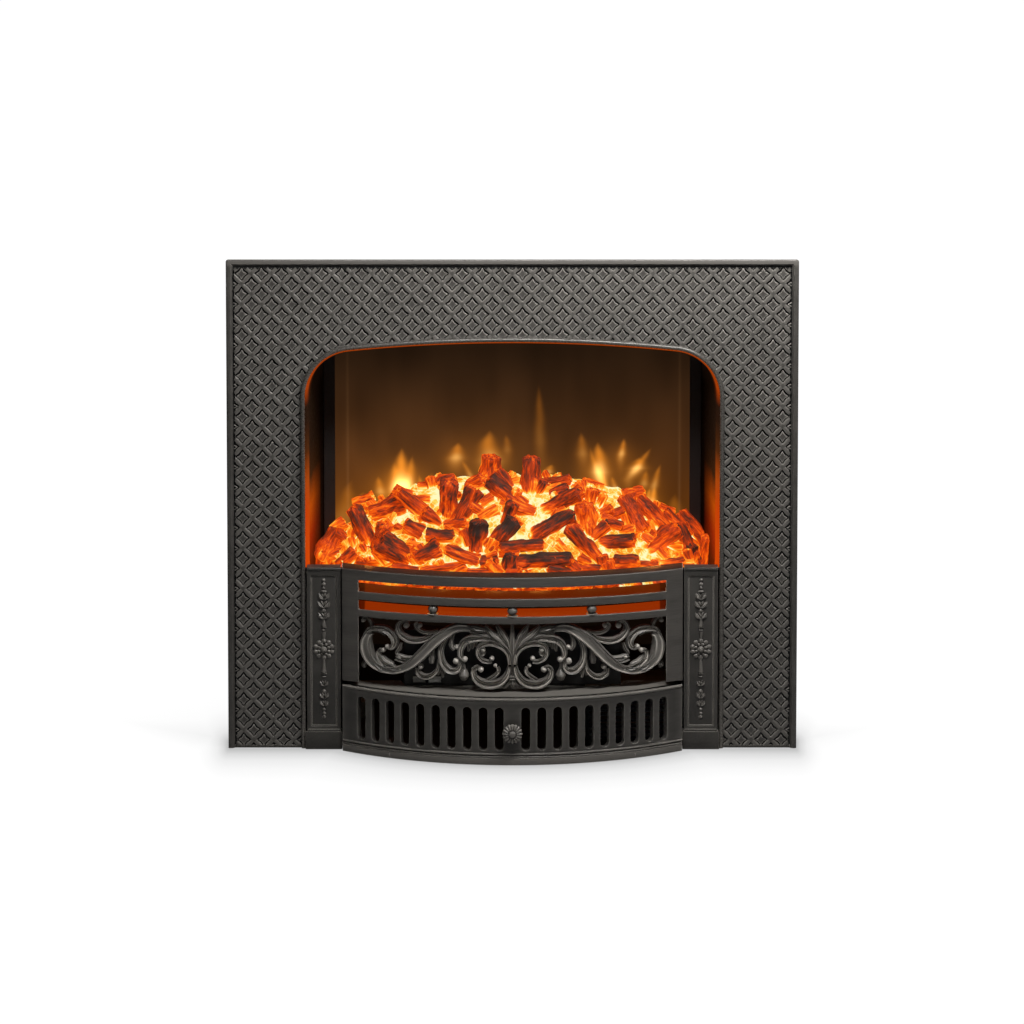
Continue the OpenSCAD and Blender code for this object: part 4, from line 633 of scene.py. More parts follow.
def lattice_cell():
    """Points and quads of one cell: crossing bands, widest midway, round a pocket with a raised lozenge."""
    inset = CELL_W * CELL_H / 2 / math.hypot(CELL_W, CELL_H)
    band, groove, swelling, reach, drop = 2.15, 1.25, 0.24, 0.22, 0.65
    # Distance from a band's middle line, and the height of the surface there over the pocket's floor
    profile = [(0.0, 2.9), (1.5, 2.85), (band - 0.35, 2.7), (band, 2.1), (band + 0.2, 0.0),
               (band + groove, 0.0), (band + groove + 0.2, 1.4), (band + groove + 0.5, 1.75),
               (band + groove + 1.2, 1.6), (inset, 1.6)]
    lines = np.array([d for d, rise in profile])
    half = list(-(inset - lines[:-1])) + [0.0]
    full = np.array(half + [-v for v in reversed(half[:-1])]) / inset
    p, q = np.meshgrid(full, full, indexing="ij")

    def warp(a, other):
        d = (1 - np.abs(a)) * inset
        swell = 1 + swelling * np.exp(-(other / reach) ** 2) * smooth_step((inset - d) / 3.2)
        return np.sign(a) * (1 - np.minimum(d * swell, inset) / inset)

    warped_p, warped_q = warp(p, q), warp(q, p)
    nearest = (1 - np.maximum(np.abs(p), np.abs(q))) * inset
    y = PLATE_Y - 0.1 - np.interp(nearest, lines, [rise for d, rise in profile])
    x_cell, z_cell = (warped_p + warped_q) * CELL_W / 4, (warped_q - warped_p) * CELL_H / 4
    # The lozenges sit a little low in their pockets
    z_cell = z_cell - drop * smooth_step((nearest - band) / groove)
    return np.stack([x_cell, y, z_cell], -1).reshape(-1, 3), grid_faces(len(full), len(full))


def on_lattice(x, z):
    """True within the rim, over the foot and outside the arch's bead."""
    inside = (np.abs(x) < HALF_W - 9.4) & (z > 2.6) & (z < HEIGHT - 9.8)
    return inside & ~inside_arch(x, z, 2.5)


def lattice_half(side, name, cell, quads):
    net = Net()
    for shift in (0.0, 0.5):
        for i in range(-16, 17):
            for j in range(-1, 27):
                cx, cz = (i + shift) * CELL_W, (j + shift) * CELL_H + CELL_LOW
                if abs(cx) > HALF_W + 6 or cz > HEIGHT + 6 or (cx < 0) != (side < 0):
                    continue
                verts = cell + (cx, 0, cz)
                mid = np.array([verts[list(f)].mean(0) for f in quads])
                keep = on_lattice(mid[:, 0], mid[:, 2])
                if keep.any():
                    net.add(verts, [f for f, kept in zip(quads, keep) if kept])
    # Only the points that a face uses
    verts = np.concatenate(net.verts)
    used = sorted(set(i for f in net.faces for i in f))
    place = {v: k for k, v in enumerate(used)}
    obj = add_mesh(name, verts[used], [[place[i] for i in f] for f in net.faces], merge=0.05)
    finish_piece(obj, iron_lattice, "cast", replaces=["lattice_relief"], sharp=50)


def lattice():
    cell, quads = lattice_cell()
    lattice_half(-1, "lattice_left", cell, quads)
    lattice_half(1, "lattice_right", cell, quads)
    foot = Net()
    for side in (-1, 1):
        side_box(foot, side, (230, -11, 0.4), (303, -7.5, 3.4), 0.5)
    foot.piece("lattice_foot", iron, "cast")


lattice()


# Pilasters
def wire_round(net, outline, y, thick=0.45, around=6):
    """A fine bead along a closed outline of x and z at depth y."""
    outline = np.array(outline)
    rings = []
    for k in range(len(outline)):
        d = outline[(k + 1) % len(outline)] - outline[k - 1]
        out = np.array([d[1], -d[0]]) / np.linalg.norm(d)
        ring = []
        for t in range(around):
            a = 2 * math.pi * t / around
            q = outline[k] + out * thick * math.cos(a)
            ring.append((q[0], y - thick * math.sin(a), q[1]))
        rings.append(ring)
    net.grid(rings, wrap_rows=True, wrap_cols=True)


def pilaster(side):
    """A post with a sunk panel, its plinth, cap and mouldings, built on the right and turned over."""
    net = Net()
    lo, hi, frame_width = 26.3, 196.7, 4.0
    outer = box_outline(PIL_IN, 0.3, PIL_OUT, FRET_TOP - 2.5)
    panel = box_outline(PIL_IN + frame_width, lo, PIL_OUT - frame_width, hi)
    verts, faces = curve_plate([rounded(outer, 0.8), rounded(panel, 0.8)], 4.0, 0.35)
    verts[:, 1] += PIL_FRONT
    net.add(verts, faces)
    soft_box(net, (PIL_IN + 1, PIL_FRONT + 1.5, 1), (PIL_OUT - 1, -2, FRET_TOP - 3), 0.3)
    soft_box(net, (COVER_HALF + 0.3, PIL_FRONT - 1.5, 0.3), (PIL_OUT + 2.2, -2, 20.5), 0.7)
    soft_box(net, (PIL_IN + 0.4, PIL_FRONT - 0.9, 20.6), (PIL_OUT - 0.4, -2, 23.0), 0.6)
    soft_box(net, (PIL_IN - 0.2, PIL_FRONT - 1.2, FRET_TOP - 2.6), (PIL_OUT + 0.2, -2, FRET_TOP), 0.6)
    inset = box_outline(PIL_IN + 5.0, lo + 1.0, PIL_OUT - 5.0, hi - 1.0)
    wire_round(net, rounded(inset, 1.2, 3), PIL_FRONT + 1.4)
    net.mirror(side)
    word = "left" if side < 0 else "right"
    net.piece("post_" + word, iron, "cast", replaces=["pilaster_" + word])


pilaster(-1)
pilaster(1)


def ball(net, centre, radius, squash=(1, 1, 1), steps=12):
    """A ball with its poles along y, squashed along each axis."""
    rings = []
    for i in range(steps + 1):
        a = math.pi * i / steps
        ring = []
        for k in range(steps * 2):
            b = math.pi * k / steps
            p = np.array([math.sin(a) * math.cos(b), math.cos(a), math.sin(a) * math.sin(b)])
            ring.append(tuple(np.array(centre) + p * radius * np.array(squash)))
        rings.append(ring)
    net.grid(rings, wrap_cols=True)


def leaf_shape(net, base, tip, width, rise, floor, bend=0.0, steps=9):
    """A pointed leaf with a raised middle rib, lying on the plane y = floor, with its ends in x and z."""
    base, tip = np.array(base, float), np.array(tip, float)
    valley = 0.7
    along = tip - base
    across = np.array([-along[1], along[0]]) / np.linalg.norm(along)
    rings = []
    for i in range(steps + 1):
        t = i / steps
        half = width / 2 * (math.sin(math.pi * min(t * 0.92 + 0.06, 1.0)) ** 0.8)
        mid = base + along * t + across * bend * math.sin(math.pi * t)
        h = rise * (0.35 + 0.65 * math.sin(math.pi * min(t + 0.12, 1)))
        ring = []
        for s, k in ((-1, 0.0), (-0.9, 0.55), (-0.5, valley), (-0.16, 0.86), (0, 1.0), (0.16, 0.86),
                     (0.5, valley), (0.9, 0.55), (1, 0.0)):
            q = mid + across * s * half
            ring.append((q[0], floor - h * k, q[1]))
        rings.append(ring)
    net.grid(rings)


# The sprig's pieces from top to bottom, with the rows of the picture where they lie and sizes in millimetres
SPRIG_BEADS = ((578.8, 1.9), (583, 2.3), (586.4, 1.7), (609.5, 2.1), (690.5, 2.2), (708.5, 1.7),
               (712.5, 1.9), (716, 2.0))
SPRIG_TWIN_ROW = 704.5
SPRIG_DISCS = ((590, 2.9), (626, 2.6), (628.8, 2.0), (672.5, 2.6), (675.5, 2.0))
# Row, reach to the side, size
SPRIG_LEAVES = ((594.5, 5.8, 6.4), (603, 6.8, 7.0), (614.0, 6.3, 6.6), (682, 4.4, 4.6), (694, 4.6, 5.6),
                (702, 4.0, 5.2))
# Row and radius at the top and at the foot of each cup
SPRIG_CUPS = (((617, 1.2), (625, 2.7)), ((630, 2.5), (639, 1.1)), ((657, 1.1), (671, 2.6)))
ROSETTE_ROW = 648
# Balls in a ring, the ring's radius, the balls' radius, how far they stand out
ROSETTE_RINGS = ((10, 9.3, 2.55, 0.3), (8, 5.7, 1.7, 1.2))


def sprig_leaves(net, cx, floor):
    for row, reach, size in SPRIG_LEAVES:
        z = picture_z(row, PIL_FRONT)
        for s in (-1, 1):
            leaf_shape(net, (cx + s * 0.6, z - size * 0.62), (cx + s * reach, z + size * 0.45), size * 0.62,
                       2.6, floor, bend=-s * 1.0)
            leaf_shape(net, (cx + s * 0.5, z - size * 0.2), (cx + s * reach * 0.45, z + size * 0.62),
                       size * 0.36, 1.9, floor)


def sprig_cups(net, cx, floor):
    for (top, top_r), (foot, foot_r) in SPRIG_CUPS:
        rings = []
        for t in np.linspace(0, 1, 9):
            r = top_r + (foot_r - top_r) * t ** 1.3
            z = picture_z(top + (foot - top) * t, PIL_FRONT)
            half = np.linspace(0, math.pi, 11)
            rings.append([(cx + r * math.cos(a), floor - r * math.sin(a), z) for a in half])
        net.grid(rings)


def rosette(net, cx, floor):
    cz = picture_z(ROSETTE_ROW, PIL_FRONT)
    for count, reach, radius, lift in ROSETTE_RINGS:
        for k in range(count):
            a = 2 * math.pi * (k + 0.5) / count
            place = (cx + reach * math.cos(a), floor - lift, cz + reach * math.sin(a))
            ball(net, place, radius, (1, 0.8, 1))
    ball(net, (cx, floor - 1.8, cz), 3.6, (1, 0.9, 1), 14)


def garland(side):
    net = Net()
    cx, floor = (PIL_IN + PIL_OUT) / 2, PIL_FRONT + 1.5
    for row, r in SPRIG_BEADS:
        ball(net, (cx, floor, picture_z(row, PIL_FRONT)), r, (1, 0.9, 1))
    for dx in (-1.3, 1.3):
        ball(net, (cx + dx, floor, picture_z(SPRIG_TWIN_ROW, PIL_FRONT)), 1.1)
    for row, r in SPRIG_DISCS:
        ball(net, (cx, floor, picture_z(row, PIL_FRONT)), r, (1.15, 0.8, 0.42))
    sprig_leaves(net, cx, floor)
    sprig_cups(net, cx, floor)
    rosette(net, cx, floor)
    net.mirror(side)
    word = "left" if side < 0 else "right"
    net.piece("sprig_" + word, iron_ornament, "cast_ornament", replaces=["garland_" + word], sharp=60)


garland(-1)
garland(1)


# Fret
def bow_sheet(net, z0, z1, d0, d1, half, bevel=0.5, step=6.0):
    """A sheet bent round the fret's bow between two depths."""
    section = rounded([(d0, z0), (d1, z0), (d1, z1), (d0, z1)], bevel, 2)
    xs = np.linspace(-half, half, int(2 * half / step) + 1)
    rings = [[(x, d, z) for d, z in section] for x in xs]
    rings = on_fret(np.array(rings).reshape(-1, 3)).reshape(len(xs), len(section), 3)
    sweep_net(net, rings)


def fret_face(net):
    """The bowed frame's front, with both long slots and the bay for the scroll open at the foot."""
    right = [(SLOT_HALF, SCROLL_TOP), (SLOT_HALF, FRET_BOTTOM), (FRET_HALF, FRET_BOTTOM),
             (FRET_HALF, FRET_TOP)]
    left = [(-x, z) for x, z in reversed(right)]
    legs = [*left[1:], *right, left[0]]
    outlines = [rounded(legs, 0.8, 2)]
    for low, high in (SLOT_A, SLOT_B):
        outlines.append(rounded(box_outline(-SLOT_HALF, low, SLOT_HALF, high), 1.2, 2))
    verts, faces = curve_plate(outlines, 15.0, 0.8, cuts=np.arange(-180, 181, 5.0))
    net.add(on_fret(verts), faces)


def fret():
    net = Net()
    fret_face(net)
    bow_sheet(net, FRET_TOP - 3, FRET_TOP, 13, 22, FRET_HALF - 0.3)
    for low in (SLOT_A[0], SLOT_B[0]):
        bow_sheet(net, low - 3, low, 13, 34, SLOT_HALF)
    for side in (-1, 1):
        for z in (91.0, 179.4):
            side_box(net, side, (171.5, -17.5, z - 6), (183.5, -2, z + 6), 0.5)
    net.piece("fret_bars", iron_brushed, "cast", replaces=["fret_frame"])
    # Thin sheets on the tops of the bars under both slots carry the painted ember light
    ledges = Net()
    for low in (SLOT_A[0], SLOT_B[0]):
        bow_sheet(ledges, low - 1, low + 0.15, 1.3, 34, SLOT_HALF - 0.1, bevel=0.1)
    ledges.piece("fret_ledges", ledge_iron, "cast")
    top = Net()
    bow_sheet(top, FRET_TOP - 1, FRET_TOP + 0.12, 1.2, 21.5, FRET_HALF - 1.2, bevel=0.1)
    top.piece("fret_top", warm_iron, "cast")


fret()


def studs():
    """Three ball studs with collars on the fret's lower bar."""
    net = Net()
    pitch, back = 87, FRET_R - 5
    wide, high, middle = 5.6, 4.8, 5.7
    profile = [(0, 0), (6.0, 0), (6.2, 0.3), (6.0, 0.7), (5.2, 0.9), (4.3, 0.8), (3.6, 1.2), (3.2, 1.6)]
    for t in np.linspace(-0.30 * math.pi, 0.5 * math.pi, 15):
        profile.append((wide * math.cos(t), middle + high * math.sin(t)))
    for k in (-1, 0, 1):
        a = math.asin(k * pitch / FRET_R)
        foot = (back * math.sin(a), FRET_CY - back * math.cos(a), SLOT_B[0])
        lathe(net, [(r, z, 0) for r, z in profile], foot, axis="z", steps=40)
    net.piece("studs", iron_ornament, "cast_ornament", replaces=["fret_balls"], sharp=45)


studs()

SCROLL_BACK = FRET_R - 12.0
PANEL_TOP = SCROLL_TOP - 0.3
STRAND_WIDTH = 1.16


def on_panel(x, z, h):
    """A point at x, z below the panel's top, at height h over its bowed back."""
    a = math.asin(x / SCROLL_BACK)
    return ((SCROLL_BACK + h) * math.sin(a), FRET_CY - (SCROLL_BACK + h) * math.cos(a), PANEL_TOP + z)


def spline(points, per=8):
    """A smooth curve through the points, chord by chord."""
    p = np.array(points, float)
    out = []
    for i in range(len(p) - 1):
        a, b, c, d = p[max(i - 1, 0)], p[i], p[i + 1], p[min(i + 2, len(p) - 1)]
        for k in range(per):
            t = k / per
            out.append(0.5 * (2 * b + (c - a) * t + (2 * a - 5 * b + 4 * c - d) * t * t
                              + (3 * b - a - 3 * c + d) * t ** 3))
    out.append(p[-1])
    return np.array(out)


# Sections of a strand: side to side, and height as a share
RIDGE = [(-1.0, 0.0), (-0.97, 0.40), (-0.86, 0.62), (-0.70, 0.66), (-0.56, 0.58), (-0.40, 0.72),
         (-0.20, 0.94), (0.0, 1.0), (0.20, 0.94), (0.40, 0.72), (0.56, 0.58), (0.70, 0.66), (0.86, 0.62),
         (0.97, 0.40), (1.0, 0.0)]
BAND = [(-1.0, 0.0), (-0.98, 0.60), (-0.91, 0.90), (-0.80, 1.0), (-0.70, 0.90), (-0.62, 0.74),
        (-0.40, 0.74), (-0.10, 0.80), (0.20, 0.76), (0.45, 0.70), (0.60, 0.74), (0.70, 0.92), (0.80, 1.0),
        (0.91, 0.90), (0.98, 0.60), (1.0, 0.0)]
HOLLOW = [(-1.0, 0.0), (-0.98, 0.60), (-0.90, 0.92), (-0.78, 1.0), (-0.64, 0.86), (-0.50, 0.62),
          (-0.30, 0.56), (-0.16, 0.70), (0.0, 0.66), (0.18, 0.56), (0.40, 0.70), (0.60, 0.92), (0.78, 1.0),
          (0.90, 0.86), (0.98, 0.50), (1.0, 0.0)]
ROUND = [(-1.0, 0.0), (-0.97, 0.3), (-0.87, 0.55), (-0.7, 0.76), (-0.48, 0.91), (-0.24, 0.98), (0.0, 1.0),
         (0.24, 0.98), (0.48, 0.91), (0.7, 0.76), (0.87, 0.55), (0.97, 0.3), (1.0, 0.0)]


def strand(net, points, section=HOLLOW, lift=0.0):
    """A raised strand along (x, z, width) points, higher where it is wider, with closed tips."""
    path = spline([[x, z, w * STRAND_WIDTH] for x, z, w in points])
    rings = []
    for i, (x, z, w) in enumerate(path):
        d = path[min(i + 1, len(path) - 1)][:2] - path[max(i - 1, 0)][:2]
        n = np.array([-d[1], d[0]]) / max(np.linalg.norm(d), 1e-6)
        h = 2.6 + w * 0.52 + lift
        rings.append([on_panel(x + n[0] * s * w / 2, z + n[1] * s * w / 2, h * k) for s, k in section])
    rings = np.array(rings)
    cols = len(section)
    count, last = len(rings) * cols, (len(rings) - 1) * cols
    faces = grid_faces(len(rings), cols)
    for k in range(cols - 1):
        faces.append((count, k + 1, k))
        faces.append((count + 1, last + k, last + k + 1))
    net.add(np.concatenate([rings.reshape(-1, 3), [rings[0].mean(0)], [rings[-1].mean(0)]]), faces)


def knob_end(net, x, z, r, h):
    """A round, slightly domed end of a scroll."""
    levels = [(1.0, 0.0)]
    levels += [(math.cos(t), 0.45 + 0.55 * math.sin(t)) for t in np.linspace(0, math.pi / 2, 7)]
    turns = np.linspace(0, 2 * math.pi, 16, endpoint=False)
    rings = [[on_panel(x + r * share * math.cos(a), z + r * share * math.sin(a), h * rise) for a in turns]
             for share, rise in levels]
    net.grid(rings, wrap_cols=True)


# Strands of the right half: (x, z below the panel's top, width) points in millimetres, section, lift
main_stem = [[45, -7.6, 6.7], [54, -6.6, 8], [63, -8.5, 9], [72, -14, 10.5], [82, -22.2, 11.3], [92, -33, 11],
             [101, -43, 10.5], [110, -51.5, 9], [119, -57, 7.5], [129, -59.6, 7.3], [139, -59, 7.3],
             [147.5, -55, 8.2], [154, -47.3, 10.2], [157, -38, 11], [157.5, -28.7, 9.8], [155, -21.5, 7],
             [151, -19.6, 4.4]]
strands = [
    (main_stem, BAND, 0),
    ([[159.5, -23, 3.5], [155, -16.3, 5], [146.6, -13.4, 5.8], [137.2, -14, 6.7], [130, -19.2, 7],
      [126.6, -26.4, 6.9], [129, -33.2, 5.5], [134, -34, 4]], HOLLOW, 0.4),
    ([[151.6, -15.4, 3], [152.5, -8.4, 3.6], [155.8, -3.8, 3.5], [160.4, -3.4, 3.1], [162.3, -6.5, 2.6]],
     HOLLOW, 0),
    ([[86.7, -18, 3.5], [92.8, -21.5, 5.3], [101.7, -24, 6.4], [110.6, -23.8, 6.7], [119, -19.4, 6.2],
      [123.4, -12.3, 5.3], [121.8, -5.8, 4.4], [116.3, -3.6, 3.8], [112.6, -6, 3.1]], HOLLOW, 0),
    ([[80, -11.5, 3], [87.9, -14.3, 3.5], [95.6, -14.3, 4], [102, -11, 4], [104.6, -6.6, 3.5],
      [101.6, -3.8, 3]], HOLLOW, 0),
    ([[56, -9.6, 3.5], [64.6, -13.6, 4.2], [71.8, -20.6, 5.1], [76.4, -30, 5.5], [77.1, -40.4, 5.8],
      [73.8, -50, 6.4], [66.8, -56, 6.7], [59, -55.2, 6], [56.1, -49.3, 4.7], [59, -45, 3.8]], HOLLOW, 0),
    ([[79, -44, 3], [80.9, -55.5, 4.4], [86.7, -62.4, 5.3], [94.5, -64.8, 5.5], [101.2, -61, 5.1],
      [102.8, -55.1, 4.2]], HOLLOW, 0),
    # Buds and shells
    ([[120, -28, 2.4], [122.2, -34.6, 4], [125.2, -39.8, 3.5], [122, -44, 2.4]], RIDGE, 0.4),
    ([[85.5, -33, 2], [87.1, -42.1, 6], [87.7, -49, 4.4]], RIDGE, 0),
    ([[62, -12, 2.2], [65.4, -20.3, 4], [66.2, -27.3, 5.1], [63, -33, 4]], RIDGE, 0),
    ([[156, -49, 3], [160.6, -55.5, 5.5], [160.4, -60, 2.6]], RIDGE, 0),
    ([[105, -43.5, 2.4], [116.1, -43.9, 3.4], [125, -40.6, 2]], RIDGE, 0.6),
    ([[106, -46.4, 2.4], [117, -46.8, 3.4], [126.4, -44, 2]], RIDGE, 0.4),
    ([[107, -49.4, 2.4], [118, -49.8, 3.4], [127, -47.6, 2]], RIDGE, 0.2),
    # Acanthus leaves over the stems
    ([[15, -24, 3.5], [28.6, -18.7, 5.8], [39.7, -18.9, 7.3], [49.1, -21.5, 7.8], [54.6, -28.6, 6.9],
      [56.3, -37.2, 5.5], [53.5, -42.9, 3.8]], HOLLOW, 0),
    ([[24, -15.6, 3], [34, -15.4, 5], [44, -17.4, 5.4], [52, -22, 3]], RIDGE, 0.6),
    ([[48, -21, 4], [46.5, -27.7, 5], [47.6, -33.7, 2.4]], RIDGE, 0.3),
    ([[43, -20, 3], [42.5, -26, 4], [43.4, -31, 2]], RIDGE, 0.2),
    ([[39, -19, 3], [39.4, -25, 3.4], [40, -28.6, 2]], RIDGE, 0),
    ([[150, -52, 3], [142.5, -58.6, 6], [136.5, -58.4, 2.6]], RIDGE, 1.0),
    ([[137, -54, 3], [129, -58.6, 6], [122.5, -57.6, 2.6]], RIDGE, 1.0),
    ([[157, -42, 3.4], [152.6, -49, 5.6], [147.6, -53, 2.6]], RIDGE, 1.0),
    ([[123, -58, 4], [133.8, -54.8, 6.2], [141, -50, 6.7], [144.7, -43.8, 5.5], [143.6, -38.6, 4],
      [139.8, -37.8, 3]], HOLLOW, 0.5),
    ([[128, -53, 2.6], [136.4, -49.4, 4], [140.8, -44.6, 2.4]], RIDGE, 1.0),
    ([[151, -17.4, 2.6], [143, -16.4, 5], [136.6, -20.6, 3]], RIDGE, 1.0),
    # Centre volutes
    ([[3, -50, 4], [5.5, -59.3, 6], [11.9, -67, 7.5], [21.9, -70.4, 8.6], [32.4, -69, 8.2], [40.2, -63, 6.4],
      [41.9, -55.2, 5], [38, -51.3, 4], [34.5, -53, 3]], HOLLOW, 0.6),
    ([[2.6, -48, 4], [4.2, -36.3, 5.3], [9.7, -28.5, 6.2], [18, -24.3, 6.4], [26.9, -23.8, 6],
      [34.7, -27.2, 5.1], [37.4, -34.4, 4.4], [34.7, -41.2, 4.2], [28, -44.8, 4],
      [22, -44.5, 3.4]], HOLLOW, 0.6),
    ([[36, -35, 3], [31.5, -37, 3], [29.8, -33, 3]], HOLLOW, 0.8),
    ([[27, -66, 3], [19.7, -61.4, 3.8], [14.9, -56, 4], [16, -50.6, 3.1]], HOLLOW, 0.2),
    # Drops
    ([[79.5, -48, 2.4], [76.7, -57.6, 3], [75.3, -64.6, 2.6]], RIDGE, 0),
    ([[78, -55, 2.2], [72.6, -60.4, 2.6]], RIDGE, 0), ([[79, -56, 2.2], [80.6, -62, 2.4]], RIDGE, 0),
    ([[53, -41, 2], [52, -52.6, 2.2], [52, -56, 5.4], [52.3, -61, 9.6], [52.3, -66, 6]], ROUND, 0),
    # Collar on the stem, and palmette
    ([[29, -9.6, 5], [37, -8.6, 8], [44, -6.6, 5], [49.6, -5.4, 2]], RIDGE, 1.4),
    ([[31, -10.6, 4], [39, -10.4, 5], [46.6, -10, 2]], RIDGE, 1.0),
    ([[22, -18, 4], [34.1, -13.6, 5.8], [46, -12, 2.6]], RIDGE, 0.4),
    ([[2.2, -38, 3], [5.5, -23.6, 5.3], [11.4, -13.3, 7.3], [17.3, -3.4, 2.4]], RIDGE, 0),
    ([[3.5, -36, 3], [10.8, -23.6, 5.5], [20.3, -15.9, 9], [30.1, -4.6, 3]], RIDGE, 0.4),
    ([[1, -66, 3], [4.2, -70.6, 3.8], [8.6, -73.4, 4.2], [11, -71.4, 2.4]], RIDGE, 0),
]
# Round ends: x, z, radius
ends = [(135, -33.6, 2.7), (139.6, -38, 2.5), (161.3, -6.4, 2.3), (114.5, -8, 3.1), (100, -7, 2.7),
        (61, -45.2, 3.3), (99, -53.4, 2.9), (51.5, -43, 3.1), (34, -54, 3.1), (22, -41.5, 2.7),
        (31.6, -31.8, 2.7), (60.4, -29.4, 2.5), (120.8, -57.4, 2.6), (135, -57.6, 2.6), (18.4, -49.4, 2.0),
        (122, -44, 2.4), (88, -44, 2.4)]


def scroll():
    net = Net()
    for points, section, lift in strands:
        strand(net, points, section, lift=lift)
    for x, z, r in ends:
        knob_end(net, x, z, r, 2.6 + r * 1.25)
    mirrored = np.concatenate(net.verts) * np.array([-1, 1, 1])
    net.add(mirrored, [tuple(reversed(f)) for f in net.faces])
    # Middle leaf, drop, collars and the rail along the panel's top
    strand(net, [[0, -60, 2.6], [0, -40, 3.4], [0, -22, 5.4], [0, -3, 3]], RIDGE, lift=0.8)
    strand(net, [[0, -66, 4], [0, -70, 6.4], [0, -74.6, 1.6]], RIDGE, lift=0.8)
    for z, r in ((-61.4, 3.6), (-64.2, 2.9)):
        strand(net, [[-r, z, 2.4], [0, z, 2.8], [r, z, 2.4]], ROUND, lift=2.2)
    xs = np.linspace(-SLOT_HALF + 0.3, SLOT_HALF - 0.3, 60)
    rail = rounded([(0, -2.4), (4, -2.4), (4, 0), (0, 0)], 0.4, 2)
    sweep_net(net, np.array([[on_panel(x * 0.999, z, h) for h, z in rail] for x in xs]))
    net.piece("scrollwork", iron_relief, "cast_ornament", replaces=["fret_scroll"], sharp=50, fix=False)


scroll()


# Ash cover
def cover_slot(cx, width, low, high):
    """An upright slot with round ends."""
    r = width / 2
    top = [(cx + r * math.cos(a), high - r + r * math.sin(a)) for a in np.linspace(0, math.pi, 9)]
    foot = [(cx + r * math.cos(a), low + r + r * math.sin(a)) for a in np.linspace(math.pi, 2 * math.pi, 9)]
    return top + foot


def trimmed(net, half):
    """The net cut off flat at x = half on both sides, with the cuts filled."""
    bm = bmesh.new()
    made = [bm.verts.new(v) for v in np.concatenate(net.verts)]
    for f in net.faces:
        # A face that is there already is left out
        try:
            bm.faces.new([made[i] for i in f])
        except ValueError:
            pass
    for side in (-1, 1):
        geom = bm.verts[:] + bm.edges[:] + bm.faces[:]
        cut = bmesh.ops.bisect_plane(bm, geom=geom, plane_co=(side * half, 0, 0), plane_no=(side, 0, 0),
                                     clear_outer=True)
        edges = [e for e in cut["geom_cut"] if isinstance(e, bmesh.types.BMEdge)]
        bmesh.ops.holes_fill(bm, edges=edges)
    bm.verts.index_update()
    out = Net()
    out.add([tuple(v.co) for v in bm.verts], [tuple(v.index for v in f.verts) for f in bm.faces])
    bm.free()
    return out


def cover_plate(net, reach):
    """The bowed plate with its upright slots, bent from a flat one that reaches as far to each side."""
    slots, first, pitch, width, low, high = 10, math.radians(2.52), math.radians(3.055), 9.6, 16.4, 65.0
    outlines = [rounded(box_outline(-reach, 13.0, reach, COVER_H - 1.8), 0.2, 1)]
    for side in (-1, 1):
        for k in range(slots):
            outlines.append(cover_slot(side * (first + k * pitch) * COVER_R, width, low, high))
    verts, faces = curve_plate(outlines, 8.0, 0.7, cuts=np.arange(-198, 199, 6.0))
    net.add(on_cover(verts), faces)


def cover_mouldings():
    """Base mouldings and top roll, as sections of depth (forward is negative) and height."""
    foot = [(8, 0.5), (-1.2, 0.5), (-1.4, 0.9), (-1.4, 7.6), (-1.2, 8.0), (-0.2, 8.1)]
    for z, r in ((9.2, 0.95), (12.4, 0.85)):
        foot += [(-0.5 - r * math.cos(t), z + r * math.sin(t)) for t in np.linspace(-1.2, 1.2, 7)]
        foot.append((-0.1, z + r))
    foot += [(0.1, 13.6), (8, 13.6)]
    roll = [(8, COVER_H - 2.4), (-0.2, COVER_H - 2.4), (-0.7, COVER_H - 2.0), (-0.9, COVER_H - 1.2),
            (-0.6, COVER_H - 0.3), (0.2, COVER_H), (8, COVER_H)]
    return foot, roll


def cover():
    net, reach = Net(), COVER_R * math.radians(35.5)
    cover_plate(net, reach)
    for section in cover_mouldings():
        sweep_net(net, [on_cover([(s, d, z) for d, z in section]) for s in np.linspace(-reach, reach, 90)])
    net = trimmed(net, COVER_HALF)
    # Ledge behind the top roll, side cheeks and runners
    top, under = [], COVER_H - 3.5
    for x in np.linspace(-COVER_HALF + 0.3, COVER_HALF - 0.3, 60):
        front = COVER_CY - math.sqrt((COVER_R - 3) ** 2 - x * x)
        back = -25.2 if abs(x) < 120 else -5
        top.append([(x, front, COVER_H), (x, back, COVER_H), (x, back, under), (x, front, under)])
    sweep_net(net, top)
    for side in (-1, 1):
        side_box(net, side, (COVER_HALF - 5, -21.5, 0.5), (COVER_HALF, -5, COVER_H), 0.5)
        side_box(net, side, (122, -52, 3.1), (134, 11, 6.1), 0.4)
    net.piece("ash_front", iron_cover, "cast", body="cover", replaces=["ash_cover"])


cover()


def knob():
    """A turned knob with 16 flutes, and the stem of its screw."""
    net = Net()
    centre = (0, COVER_CY - COVER_R, 38.0)
    profile = [(0, 0, 0), (6, 0, 0), (6.2, 0.8, 0), (5.2, 1.6, 0), (5.0, 4.0, 0), (6.0, 5.2, 0),
               (8.8, 6.0, 0.4), (10.4, 7.0, 1), (10.6, 8.2, 1), (9.8, 9.4, 1), (8.0, 10.3, 1),
               (6.2, 10.9, 0.9), (4.8, 10.9, 0.4), (4.2, 10.5, 0), (3.9, 11.2, 0), (3.2, 12.3, 0),
               (1.9, 12.9, 0), (0, 13.0, 0)]
    lathe(net, profile, centre, steps=128, flute=lambda a: abs(math.cos(8 * a)) * 2 - 1.2)
    lathe(net, [(0, -14, 0), (2.5, -14, 0), (2.5, 0.5, 0)], centre, steps=24)
    net.piece("knob", iron_ornament, "cast_ornament", body="cover", replaces=["ash_knob"], sharp=60)


knob()


